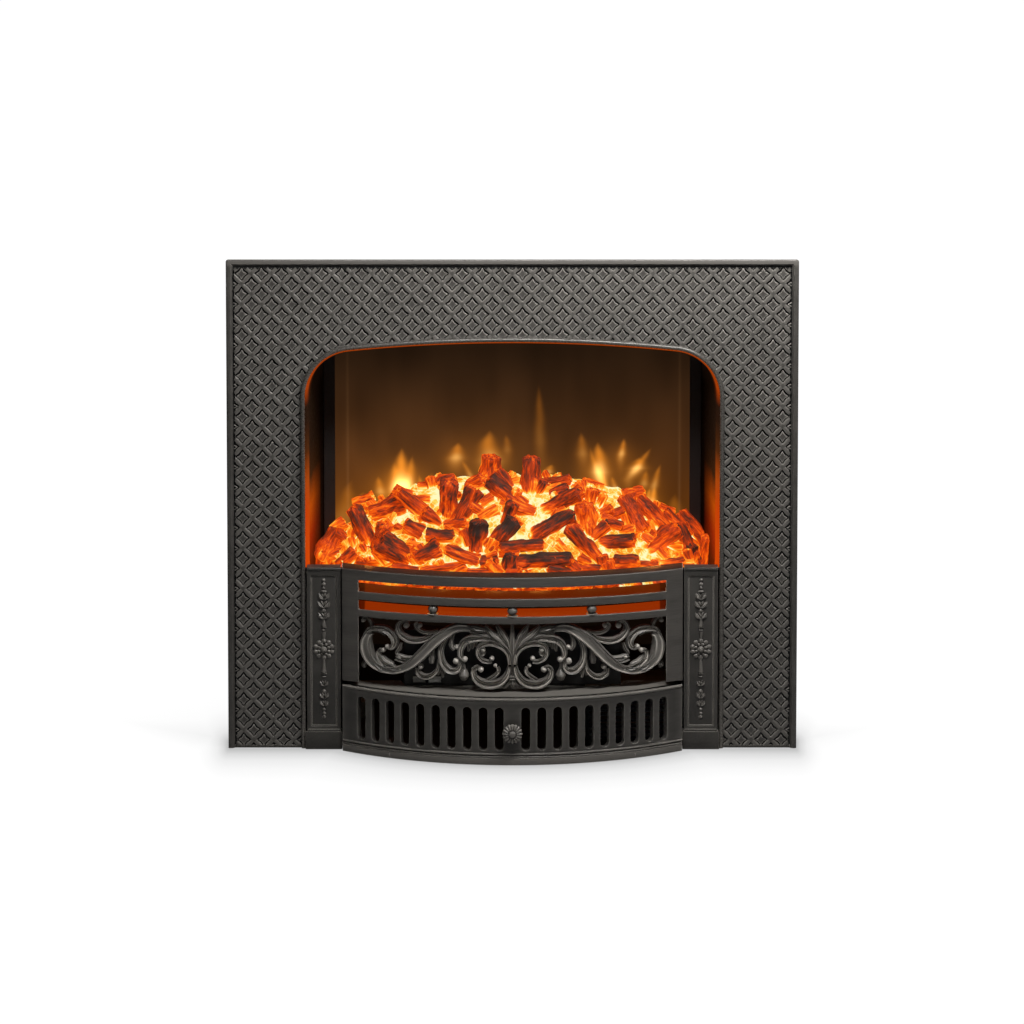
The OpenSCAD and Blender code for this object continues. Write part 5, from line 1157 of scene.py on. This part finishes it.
# Embers
def value_noise(points, scale, seed):
    """Smooth noise from -1 to 1 at each point."""
    rng = np.random.default_rng(seed)
    table = rng.uniform(-1, 1, (16, 16, 16))
    spots = np.asarray(points) * scale + 101.3
    cell = np.floor(spots).astype(int)
    part = spots - cell
    part = part * part * (3 - 2 * part)
    total = 0
    for corner in np.ndindex(2, 2, 2):
        wx, wy, wz = (part[..., k] if corner[k] else 1 - part[..., k] for k in range(3))
        value = table[tuple((cell[..., k] + corner[k]) % 16 for k in range(3))]
        total = total + value * wx * wy * wz
    return total


MOUND_H, MOUND_HALF = 112.0, 210.0
MOUND_BACK = 102.5
# Millimetres to a pixel for the chunks' lengths and thicknesses
LOG_SCALE = 1.13
CHIPS = 150
BED_COLS, BED_ROWS = 141, 61
EMBER_GLOW = [
    (0.0, (0.016, 0.007, 0.005)), (0.18, (0.050, 0.014, 0.008)), (0.31, (0.22, 0.022, 0.004)),
    (0.46, (0.60, 0.046, 0.003)), (0.62, (0.95, 0.125, 0.004)), (0.77, (1.0, 0.36, 0.018)),
    (0.89, (1.0, 0.70, 0.11)), (1.0, (1.0, 0.94, 0.50)),
]


def tray_front(x):
    """Depth of the tray's bowed lip."""
    return FRET_CY - np.sqrt((TRAY_R - 1) ** 2 - x * x)


def mound_height(x, y):
    """Height of the ember mound over the floor."""
    u = np.clip(np.abs(x) / MOUND_HALF, 0, 1)
    front = tray_front(x)
    v = np.clip((y - front) / (MOUND_BACK - front), 0, 1)
    h = MOUND_H * (1 - 0.72 * u ** 2.6) * (0.16 + 0.84 * np.sin(np.minimum(np.radians(v * 130), math.pi / 2)))
    return TRAY_TOP + np.maximum(h - 3, 2)


def bed_height(x, y):
    """Height of the glowing bed that the logs lie on."""
    x, y = np.asarray(x, float), np.asarray(y, float)
    spot = np.stack([x, y, x * 0], -1)
    lumps = value_noise(spot / 17, 1.0, 5) + 0.5 * value_noise(spot / 7, 1.0, 6)
    return np.maximum(mound_height(x, y) - 9 + lumps * 3.5, TRAY_TOP + 0.5)


def on_ray(px, py):
    """The point of the mound that the photograph shows at a pixel."""
    x, back = (px - MIDDLE_PX) * ACROSS, 98.0
    for y in np.arange(-16, 103, 1.0):
        if picture_z(py, y) <= mound_height(x, y):
            return x, y, picture_z(py, y)
    return x, back, picture_z(py, back)


# Column and row of each chunk's middle in the picture, length and thickness in pixels, degrees, char
CHUNKS = [
    (330, 545, 34, 27, 60, .3), (363, 527, 48, 19, -64, .55), (336, 524, 16, 12, 30, .1),
    (362, 499, 22, 14, 20, .2), (385, 507, 36, 22, 20, .45), (417, 506, 54, 16, -42, .3),
    (446, 501, 48, 20, 84, .45), (492, 472, 38, 23, 88, .35), (465, 507, 42, 18, 62, .5),
    (474, 480, 18, 13, 30, .15), (413, 527, 20, 16, -30, .5), (440, 534, 28, 15, 2, .75),
    (397, 552, 54, 25, -36, .5), (427, 552, 26, 18, 25, .7), (478, 535, 30, 21, 84, .85),
    (501, 534, 40, 19, 50, .85), (462, 554, 36, 14, -18, .35), (489, 561, 18, 14, 10, .8),
    (509, 562, 20, 16, 80, .8), (507, 492, 46, 19, -38, .6), (368, 563, 26, 9, 0, .3),
    (442, 567, 46, 9, 4, .3), (530, 478, 44, 21, 88, .5), (558, 480, 26, 13, 14, .45),
    (554, 505, 62, 16, 34, .55), (553, 527, 50, 18, 34, .7), (521, 545, 44, 13, 3, .7),
    (541, 560, 62, 15, 5, .85), (586, 549, 60, 16, -51, .4), (587, 517, 30, 22, -82, .25),
    (591, 497, 20, 12, 80, .3), (613, 541, 46, 14, 9, .75), (627, 561, 24, 17, 5, .55),
    (632, 513, 40, 18, -60, .4), (652, 512, 42, 17, -46, .35), (658, 540, 48, 18, 36, .35),
    (684, 539, 34, 14, -70, .5), (692, 552, 18, 12, 84, .7), (696, 530, 48, 18, -50, .4),
    (614, 523, 18, 12, -10, .55), (607, 510, 13, 10, 30, .3), (617, 512, 16, 11, 20, .3),
    (666, 508, 18, 11, -30, .3), (541, 485, 14, 10, 60, .6), (559, 491, 20, 12, 20, .6),
    (647, 565, 22, 10, -8, .4), (559, 569, 24, 10, -14, .6), (508, 515, 30, 15, 70, .6),
    (503, 478, 22, 13, -60, .3), (634, 493, 22, 16, 10, .2), (402, 493, 20, 15, -20, .15),
    (446, 481, 20, 14, 20, .3), (672, 562, 26, 11, 5, .4), (405, 568, 28, 9, -6, .3),
    (590, 567, 22, 9, 4, .5), (480, 571, 26, 9, 2, .5), (516, 571, 22, 9, 0, .6),
    (345, 557, 22, 14, 40, .35), (676, 520, 30, 14, -42, .35), (575, 494, 18, 12, 40, .35),
    (523, 506, 26, 14, -20, .4), (600, 530, 20, 12, 40, .35), (573, 563, 20, 12, -40, .4),
    (381, 532, 22, 14, 70, .4), (431, 517, 22, 13, -40, .4), (455, 522, 22, 12, 10, .45),
    (343, 537, 20, 12, -30, .3), (706, 551, 37, 14, 80, .3), (320, 559, 30, 13, 80, .3),
]


def log_shape(rng, share, angles, length, radius, seed):
    """Points of a log along x, how near its facets' edges they lie, and its bark."""
    facets = int(rng.integers(4, 7))
    phase = rng.uniform(0, 6.28)
    sector = (angles + phase + share * rng.uniform(-0.3, 0.3)) % (2 * math.pi / facets) - math.pi / facets
    flat = 0.35 + 0.65 * np.cos(math.pi / facets) / np.cos(sector)
    taper = 1 + rng.uniform(-0.2, 0.2) * share
    end = np.clip((1 - np.abs(share)) / 0.09, 0, 1) ** 0.5
    along = share * length / 2
    round_x, round_y = np.cos(angles), np.sin(angles)

    def noise(parts, scale, step):
        return value_noise(np.stack(parts, -1) + seed, scale, seed + step)

    bark = noise([along * 0.06, round_x * 2.6, round_y * 2.6], 1.0, 0)
    lumps = noise([along * 0.09, round_x, round_y], 1.1, 7)
    splits = noise([along * 0.30, round_x * 1.2, round_y * 1.2], 1.0, 5)
    rings = radius * flat * taper * (0.25 + 0.75 * end)
    rings = rings * (1 + 0.13 * bark + 0.24 * lumps - 0.16 * np.clip(splits - 0.25, 0, 1))
    along = along + noise([round_x * 2, round_y * 2, share], 1.5, 3) * radius * 0.3 * np.abs(share) ** 6
    bow = rng.uniform(-0.06, 0.06) * length * (1 - share ** 2)
    local = np.stack([along, rings * round_x + bow, rings * round_y], -1).reshape(-1, 3)
    return local, flat.reshape(-1), bark.reshape(-1)


def chunk(net, fields, place, length, radius, angle, char, seed, warmth=0.0):
    """One charred log: facets, bark ridges along it and broken ends. fields gathers warmth and grain."""
    rng = np.random.default_rng(seed)
    sides, rows = 30, 24
    turns = np.linspace(0, 2 * math.pi, sides, endpoint=False)
    share, angles = np.meshgrid(np.linspace(-1, 1, rows), turns, indexing="ij")
    local, flat, bark = log_shape(rng, share, angles, length, radius, seed)
    turn = Matrix.Rotation(math.radians(-angle), 3, "Y")
    turn = turn @ Matrix.Rotation(math.radians(rng.uniform(-18, 12)), 3, "Z")
    turn = turn @ Matrix.Rotation(rng.uniform(0, 6.28), 3, "X")
    world = local @ np.array(turn).T + np.array(place)
    net.add(world, grid_faces(rows, sides, wrap_cols=True) + end_caps(rows, sides))
    # Hot near the bed, at the ends and along the facets' edges, dark where charred
    height = world[:, 2] - bed_height(world[:, 0], world[:, 1])
    inside = np.clip((MOUND_HALF - 3 - np.abs(world[:, 0])) / 8, 0, 1)
    low = np.exp(-np.clip(height, 0, None) / 3.2) * inside
    tip = np.exp(-(1 - np.abs(share)).reshape(-1) / 0.07)
    edge = np.clip((flat - 0.955) / 0.045, 0, 1)
    patch = value_noise(local / 8.0 + seed, 1.0, seed + 11)
    rise = np.clip((world[:, 2] - place[2]) / radius, 0, 1)
    charred = char * (0.55 + 0.5 * patch + 0.55 * rise) * (1 - 0.6 * low)
    heat = 0.54 - 0.50 * charred + 0.46 * low + 0.14 * tip + 0.10 * edge + 0.12 * patch
    heat += 0.16 * np.clip(-bark, -0.4, 1) + warmth
    grain = np.stack([local[:, 0] * 0.22 + 37.0 * (seed % 29), local[:, 1] * 1.3, local[:, 2] * 1.3], 1) * MM
    fields.append((np.clip(heat, 0, 1), grain))


def coloured(obj, name, colours):
    """Stores a colour for each point."""
    layer = obj.data.color_attributes.new(name, "FLOAT_COLOR", "POINT")
    layer.data.foreach_set("color", np.concatenate([colours, np.ones((len(colours), 1))], 1).ravel())


def ember_material():
    """Glow and relief from the warmth of each point and from noise drawn out along each log's grain."""
    material, tree = new_tree("ember")
    heat = put(tree, "Attribute", attribute_name="warmth").outputs["Fac"]
    space = put(tree, "Attribute", attribute_name="grain").outputs["Vector"]
    streaks = noise_of(tree, space, 330.0, 5.0, 0.62)
    blotches = noise_of(tree, space, 110.0, 3.0, 0.5)
    cracks = put(tree, "TexVoronoi", {"Vector": space, "Scale": 150.0},
                 feature="DISTANCE_TO_EDGE").outputs["Distance"]
    crack = remap(tree, cracks, 0.0, 0.10, 0.20, 0.0)
    # Streaks fade where the ember is hottest
    reach = remap(tree, heat, 0.55, 0.92, 0.85, 0.22)

    def swing(value, amount):
        return math_of(tree, "MULTIPLY", math_of(tree, "SUBTRACT", value, 0.5), amount)

    level = math_of(tree, "ADD", heat, swing(blotches, 0.60))
    level = math_of(tree, "ADD", level, swing(streaks, reach))
    level = math_of(tree, "ADD", level, math_of(tree, "MULTIPLY", crack, heat), clamp=True)
    body = [(0.0, (0.030, 0.019, 0.015)), (0.35, (0.04, 0.012, 0.006)), (1.0, (0.08, 0.012, 0.003))]
    finish_shader(tree, Base_Color=ramp(tree, level, body), Roughness=0.7, Specular_IOR_Level=0.12,
                  Emission_Color=ramp(tree, level, EMBER_GLOW), Emission_Strength=1.0,
                  Normal=bump_of(tree, streaks, 0.8, 0.0015))
    return material


def warm_piece(name, net, warmth, grain, material, sharp):
    """A piece of the ember bed that keeps the warmth and the place in the grain of each point."""
    obj = add_mesh(name, np.concatenate(net.verts), net.faces, merge=None)
    coloured(obj, "warmth", np.repeat(warmth[:, None], 3, 1))
    layer = obj.data.attributes.new("grain", "FLOAT_VECTOR", "POINT")
    layer.data.foreach_set("vector", grain.astype(np.float32).ravel())
    finish_piece(obj, material, "embers", replaces=["ember_bed"], sharp=sharp)


def log_pile(ember, rng):
    """The chunks that the picture shows, and small chips that fill the gaps between them."""
    net, fields = Net(), []
    for k, (px, py, length, thick, angle, char) in enumerate(CHUNKS):
        x, y, z = on_ray(px, py)
        radius = thick * LOG_SCALE / 2
        chunk(net, fields, (x, y + radius * 0.25, z), length * LOG_SCALE, radius, angle, char, 40 + k)
    for k in range(CHIPS):
        u, v = rng.uniform(-0.97, 0.97), rng.uniform(0.02, 0.85)
        x = u * (MOUND_HALF - 6)
        front = tray_front(x)
        y = front + v * (98 - front)
        radius, length = rng.uniform(4.0, 7.5), rng.uniform(13, 27)
        place = (x, y, bed_height(x, y) + rng.uniform(0.0, 3.5))
        chunk(net, fields, place, length, radius, rng.uniform(-80, 80), rng.uniform(0, 0.5), 300 + k, 0.10)
    warmth, grain = (np.concatenate(part) for part in zip(*fields))
    warm_piece("logs", net, warmth, grain, ember, 55)


def front_coals(ember, rng):
    """A row of small coals behind the tray's lip, seen through the upper slot."""
    net, fields = Net(), []
    for k, x in enumerate(np.arange(-164.0, 165.0, 6.0)):
        place = (x + rng.uniform(-1.5, 1.5), tray_front(x) + 6.5 + rng.uniform(-1, 1),
                 179.6 + rng.uniform(-0.8, 1.0))
        chunk(net, fields, place, rng.uniform(8, 12), rng.uniform(2.6, 3.6), rng.uniform(-30, 30),
              rng.uniform(0.1, 0.6), 700 + k, -0.52)
    warmth, grain = (np.concatenate(part) for part in zip(*fields))
    warm_piece("front_coals", net, warmth, grain, ember, 55)


def ember_base(ember):
    """The glowing bed under the logs, closed at the back and the sides."""
    across, inward = np.meshgrid(np.linspace(-1, 1, BED_COLS), np.linspace(0, 1, BED_ROWS), indexing="ij")
    x = across * (MOUND_HALF - 3)
    y = tray_front(x) + inward * (MOUND_BACK - tray_front(x))
    top = np.stack([x, y, bed_height(x, y)], -1)
    net = Net()
    net.grid(top)
    for side in (top[:, -1], top[0], top[-1]):
        foot = np.stack([side[:, 0], side[:, 1], np.full(len(side), TRAY_TOP)], -1)
        net.grid(np.stack([side, foot], 1))
    verts = np.concatenate(net.verts)
    warmth = 0.92 + 0.26 * value_noise(verts / 13, 1.0, 9) + 0.14 * value_noise(verts / 5, 1.0, 10)
    out = np.abs(verts[:, 0]) / MOUND_HALF
    warmth -= 0.22 * out ** 2 + 0.45 * out ** 12
    # Cooler behind the tray's lip, where the upper slot shows the bed
    warmth -= 0.30 * np.clip(1 - (verts[:, 1] - tray_front(verts[:, 0])) / 13.0, 0, 1)
    warm_piece("ember_base", net, np.clip(warmth, 0, 1), verts * MM, ember, 80)


def embers():
    ember, rng = ember_material(), np.random.default_rng(7)
    log_pile(ember, rng)
    front_coals(ember, rng)
    ember_base(ember)


embers()

# Flames on the screen
# Column and row of each flame's tip and of its base in the picture, width in pixels, strength
FLAMES = [
    (401, 446, 400, 486, 13, 1.0), (392, 460, 396, 488, 10, .6), (411, 454, 406, 486, 9, .6),
    (418, 473, 423, 502, 6, .7), (376, 474, 379, 490, 7, .45), (360, 490, 358, 505, 10, .35),
    (457, 440, 455, 456, 11, .55), (462, 458, 470, 474, 4, .35), (461, 474, 459, 500, 7, .9),
    (453, 478, 456, 490, 4, .5), (488, 428, 490, 459, 17, .55), (506, 432, 507, 448, 6, .2),
    (551, 462, 548, 470, 7, .5), (538, 383, 540, 440, 8, .16), (581, 430, 583, 452, 8, .28),
    (599, 440, 600, 470, 12, .75), (600, 462, 608, 508, 8, .9), (590, 445, 600, 475, 5, .35),
    (586, 478, 582, 492, 6, .95), (579, 488, 576, 500, 6, .8), (625, 436, 622, 452, 5, .55),
    (652, 446, 634, 470, 7, .45), (641, 455, 638, 466, 12, .45), (647, 468, 645, 482, 6, .35),
    (661, 462, 655, 484, 5, .4), (656, 484, 653, 505, 6, .75), (650, 486, 648, 500, 4, .6),
    (612, 474, 616, 486, 4, .4), (430, 470, 428, 486, 8, .2), (700, 500, 690, 540, 12, .1),
    (350, 478, 340, 520, 16, .22), (677, 492, 676, 520, 14, .22),
]


# Rows between which the haze brightens, half its width, and the columns of the screen's folded edges
HAZE_TOP, HAZE_RISE, HAZE_HALF = 345.0, 150.0, 180.0
FOLDS = (346.0, 680.5)


def haze_light(px, py, low):
    """Brown haze, brighter low down and in the left half."""
    side = np.clip(np.abs(px - MIDDLE_PX) / HAZE_HALF, 0, 1)
    haze = 0.017 + 0.112 * low ** 1.25 * (1 - 0.42 * side * (px > MIDDLE_PX))
    wide = value_noise(np.stack([px / 26, py / 60, px * 0], -1), 1.0, 21)
    narrow = value_noise(np.stack([px / 11, py / 30, px * 0 + 3], -1), 1.0, 22)
    haze = haze * (1 + 0.25 * wide + 0.12 * narrow)
    return np.stack([haze, haze * (0.46 - 0.16 * low), haze * (0.19 - 0.155 * low)], -1)


def flame_picture(px, py):
    """Light of the screen at columns and rows of the picture: the haze, the flames and the folds."""
    low = np.clip((py - HAZE_TOP) / HAZE_RISE, 0, 1)
    colour = haze_light(px, py, low)
    flame = np.zeros_like(px)
    hot = np.zeros_like(px)
    for tip_x, tip_y, base_x, base_y, width, power in FLAMES:
        t = (py - tip_y) / (base_y - tip_y)
        bend = value_noise(np.stack([py / 14, px * 0 + tip_x, px * 0], -1), 1.0, 23) * width * 0.25
        mid = tip_x + (base_x - tip_x) * np.clip(t, 0, 1.3) + bend * np.clip(1 - t, 0, 1)
        half = width * 0.66 * np.clip(t, 0, 1) ** 0.7 + 0.5
        across = np.exp(-((px - mid) / half) ** 2)
        lengthwise = smooth_step((t + 0.08) / 0.45) * np.exp(-np.clip(t - 1, 0, None) * 2.2)
        flame += across * lengthwise * power
        hot += across * lengthwise * power * smooth_step((t - 0.35) / 0.6)
        halo = np.exp(-((px - base_x) ** 2 + (py - base_y) ** 2) / (2 * (width + 3.0) ** 2))
        flame += 0.28 * power ** 2 * halo
    colour += flame[..., None] * np.array([0.74, 0.225, 0.014])
    colour += (np.clip(hot, 0, 1.3) ** 2.1)[..., None] * np.array([0.9, 0.68, 0.22])
    edge = sum(np.exp(-((px - fold) / 1.2) ** 2) for fold in FOLDS)
    colour += (edge * 0.03 * (0.3 + low))[..., None] * np.array([1.0, 0.5, 0.2])
    return colour


def screen_material():
    material, tree = new_tree("screen_glow")
    light = put(tree, "Attribute", attribute_name="light").outputs["Color"]
    fine = noise_of(tree, mapped(tree), 500.0, 2.0)
    finish_shader(tree, Base_Color=(*SOOT, 1), Roughness=0.6, Specular_IOR_Level=0.12, Emission_Color=light,
                  Emission_Strength=1.0, Normal=bump_of(tree, fine, 0.05, 0.0002))
    return material


def screen():
    """A fine sheet that holds the flames' light for each point, and the pane behind it."""
    net = Net()
    x, z = np.meshgrid(np.arange(-199.5, 199.6, 1.5), np.arange(112.0, 478.1, 1.5), indexing="ij")
    net.grid(np.stack([x, np.full_like(x, SCREEN_Y), z], -1))
    soft_box(net, (-199.7, SCREEN_Y + 0.3, 112), (199.7, SCREEN_Y + 3, 478), 0.3)
    verts = np.concatenate(net.verts)
    px = MIDDLE_PX + verts[:, 0] / ACROSS
    py = FOOT_PY - verts[:, 2] / UP + (FRONT_Y - verts[:, 1]) / DEPTH
    obj = add_mesh("screen", verts, net.faces, merge=None)
    coloured(obj, "light", flame_picture(px, py))
    finish_piece(obj, screen_material(), "screen", replaces=["flame_screen"], sharp=30)


screen()

# Stage, light, camera
# Front and back of the surround's foot in metres, and the floor's light outwards from the foot
FOOT_FRONT, FOOT_BACK = -0.016, 0.015
SHADE = greys([(0.0, 0.48), (0.06, 0.65), (0.14, 0.79), (0.25, 0.88), (0.43, 0.96), (0.8, 1.0)])


def distance_from_foot(tree):
    """How far a spot of the floor lies from the surround's foot and from the bowed cover's foot."""
    x, y = put(tree, "SeparateXYZ", {0: mapped(tree)}).outputs[:2]

    def calc(operation, a, b=0.0):
        return math_of(tree, operation, a, b)

    def length(a, b):
        return calc("SQRT", calc("ADD", calc("MULTIPLY", a, a), calc("MULTIPLY", b, b)))

    outside = calc("SUBTRACT", calc("ABSOLUTE", x), HALF_W * MM)
    beside = calc("MAXIMUM", calc("MULTIPLY", outside, 3.5))
    before, behind = calc("SUBTRACT", FOOT_FRONT, y), calc("SUBTRACT", y, FOOT_BACK)
    across = calc("MAXIMUM", calc("MAXIMUM", before, behind))
    radius = length(calc("SUBTRACT", y, COVER_CY * MM), x)
    from_cover = calc("MAXIMUM", calc("SUBTRACT", radius, COVER_R * MM), calc("ADD", y, 0.03))
    return calc("MINIMUM", length(beside, across), from_cover)


def floor():
    """A white floor whose soft shadow round the foot is light, so that nothing else darkens it."""
    material, tree = new_tree("floor")
    ray = put(tree, "LightPath").outputs["Is Camera Ray"]
    grey = ramp(tree, noise_of(tree, mapped(tree), 3.0, 2.0), greys([(0.2, 0.30), (0.8, 0.32)]))
    diffuse = put(tree, "BsdfDiffuse", {"Color": mix_of(tree, ray, grey, (0.1, 0.1, 0.1))})
    level = ramp(tree, remap(tree, distance_from_foot(tree), 0.0, 0.30), SHADE)
    lift = put(tree, "Emission", {"Color": level, "Strength": ray})
    both = put(tree, "AddShader", {0: diffuse.outputs[0], 1: lift.outputs[0]})
    put(tree, "OutputMaterial", {"Surface": both.outputs[0]})
    corners = [(x, y, -0.0003) for x, y in ((-9, -6), (9, -6), (9, 30), (-9, 30))]
    obj = add_mesh("floor", np.array(corners) / MM, [(0, 1, 2, 3)], merge=None, fix_normals=False)
    obj.data.materials.append(material)


floor()

world = bpy.data.worlds.new("studio")
scene.world = world
world.use_nodes = True
world.node_tree.nodes.clear()
world_ray = put(world.node_tree, "LightPath").outputs["Is Camera Ray"]
world_strength = remap(world.node_tree, world_ray, 0.0, 1.0, 0.03, 1.0)
world_back = put(world.node_tree, "Background", {"Color": (1, 1, 1, 1), "Strength": world_strength})
put(world.node_tree, "OutputWorld", {"Surface": world_back.outputs[0]})


def aim(obj, target):
    obj.rotation_euler = (Vector(target) - obj.location).to_track_quat("-Z", "Y").to_euler()


def area(name, place, target, size, power, colour=(1, 1, 1)):
    light = bpy.data.lights.new(name, "AREA")
    light.shape = "RECTANGLE"
    light.size, light.size_y = size
    light.energy = power
    light.color = colour
    obj = bpy.data.objects.new(name, light)
    obj.location = place
    aim(obj, target)
    scene.collection.objects.link(obj)


# Name, place, target, size and watts
area("key", (0.22, -0.42, 0.98), (0, 0, 0.42), (0.8, 0.08), 9.2)
area("front", (0.3, -3.2, 2.2), (0, 0, 0.2), (1.6, 1.0), 1.75)
area("back", (0, 2.2, 2.4), (0, 0, 0.2), (2.5, 1.2), 22)
area("rear", (-1.1, 2.3, 0.9), (0, 0.1, 0.25), (1.4, 1.0), 6)
area("ember_light", (0, 0.06, 0.215), (0, 0.02, 0.5), (0.36, 0.08), 0.8, (1.0, 0.28, 0.03))
area("tray_light", (0, 0.03, 0.2), (0, -0.05, 0.19), (0.32, 0.02), 0.5, (1.0, 0.30, 0.04))

camera = bpy.data.cameras.new("camera")
camera.lens = 453.2
camera.sensor_width = 36
camera.clip_end = 100
camera_object = bpy.data.objects.new("camera", camera)
camera_object.location = (-0.0004, -13.516, 3.9615)
aim(camera_object, (-0.0004, FRONT_Y * MM, 0.2673))
scene.collection.objects.link(camera_object)
scene.camera = camera_object
scene.view_settings.view_transform = "Standard"
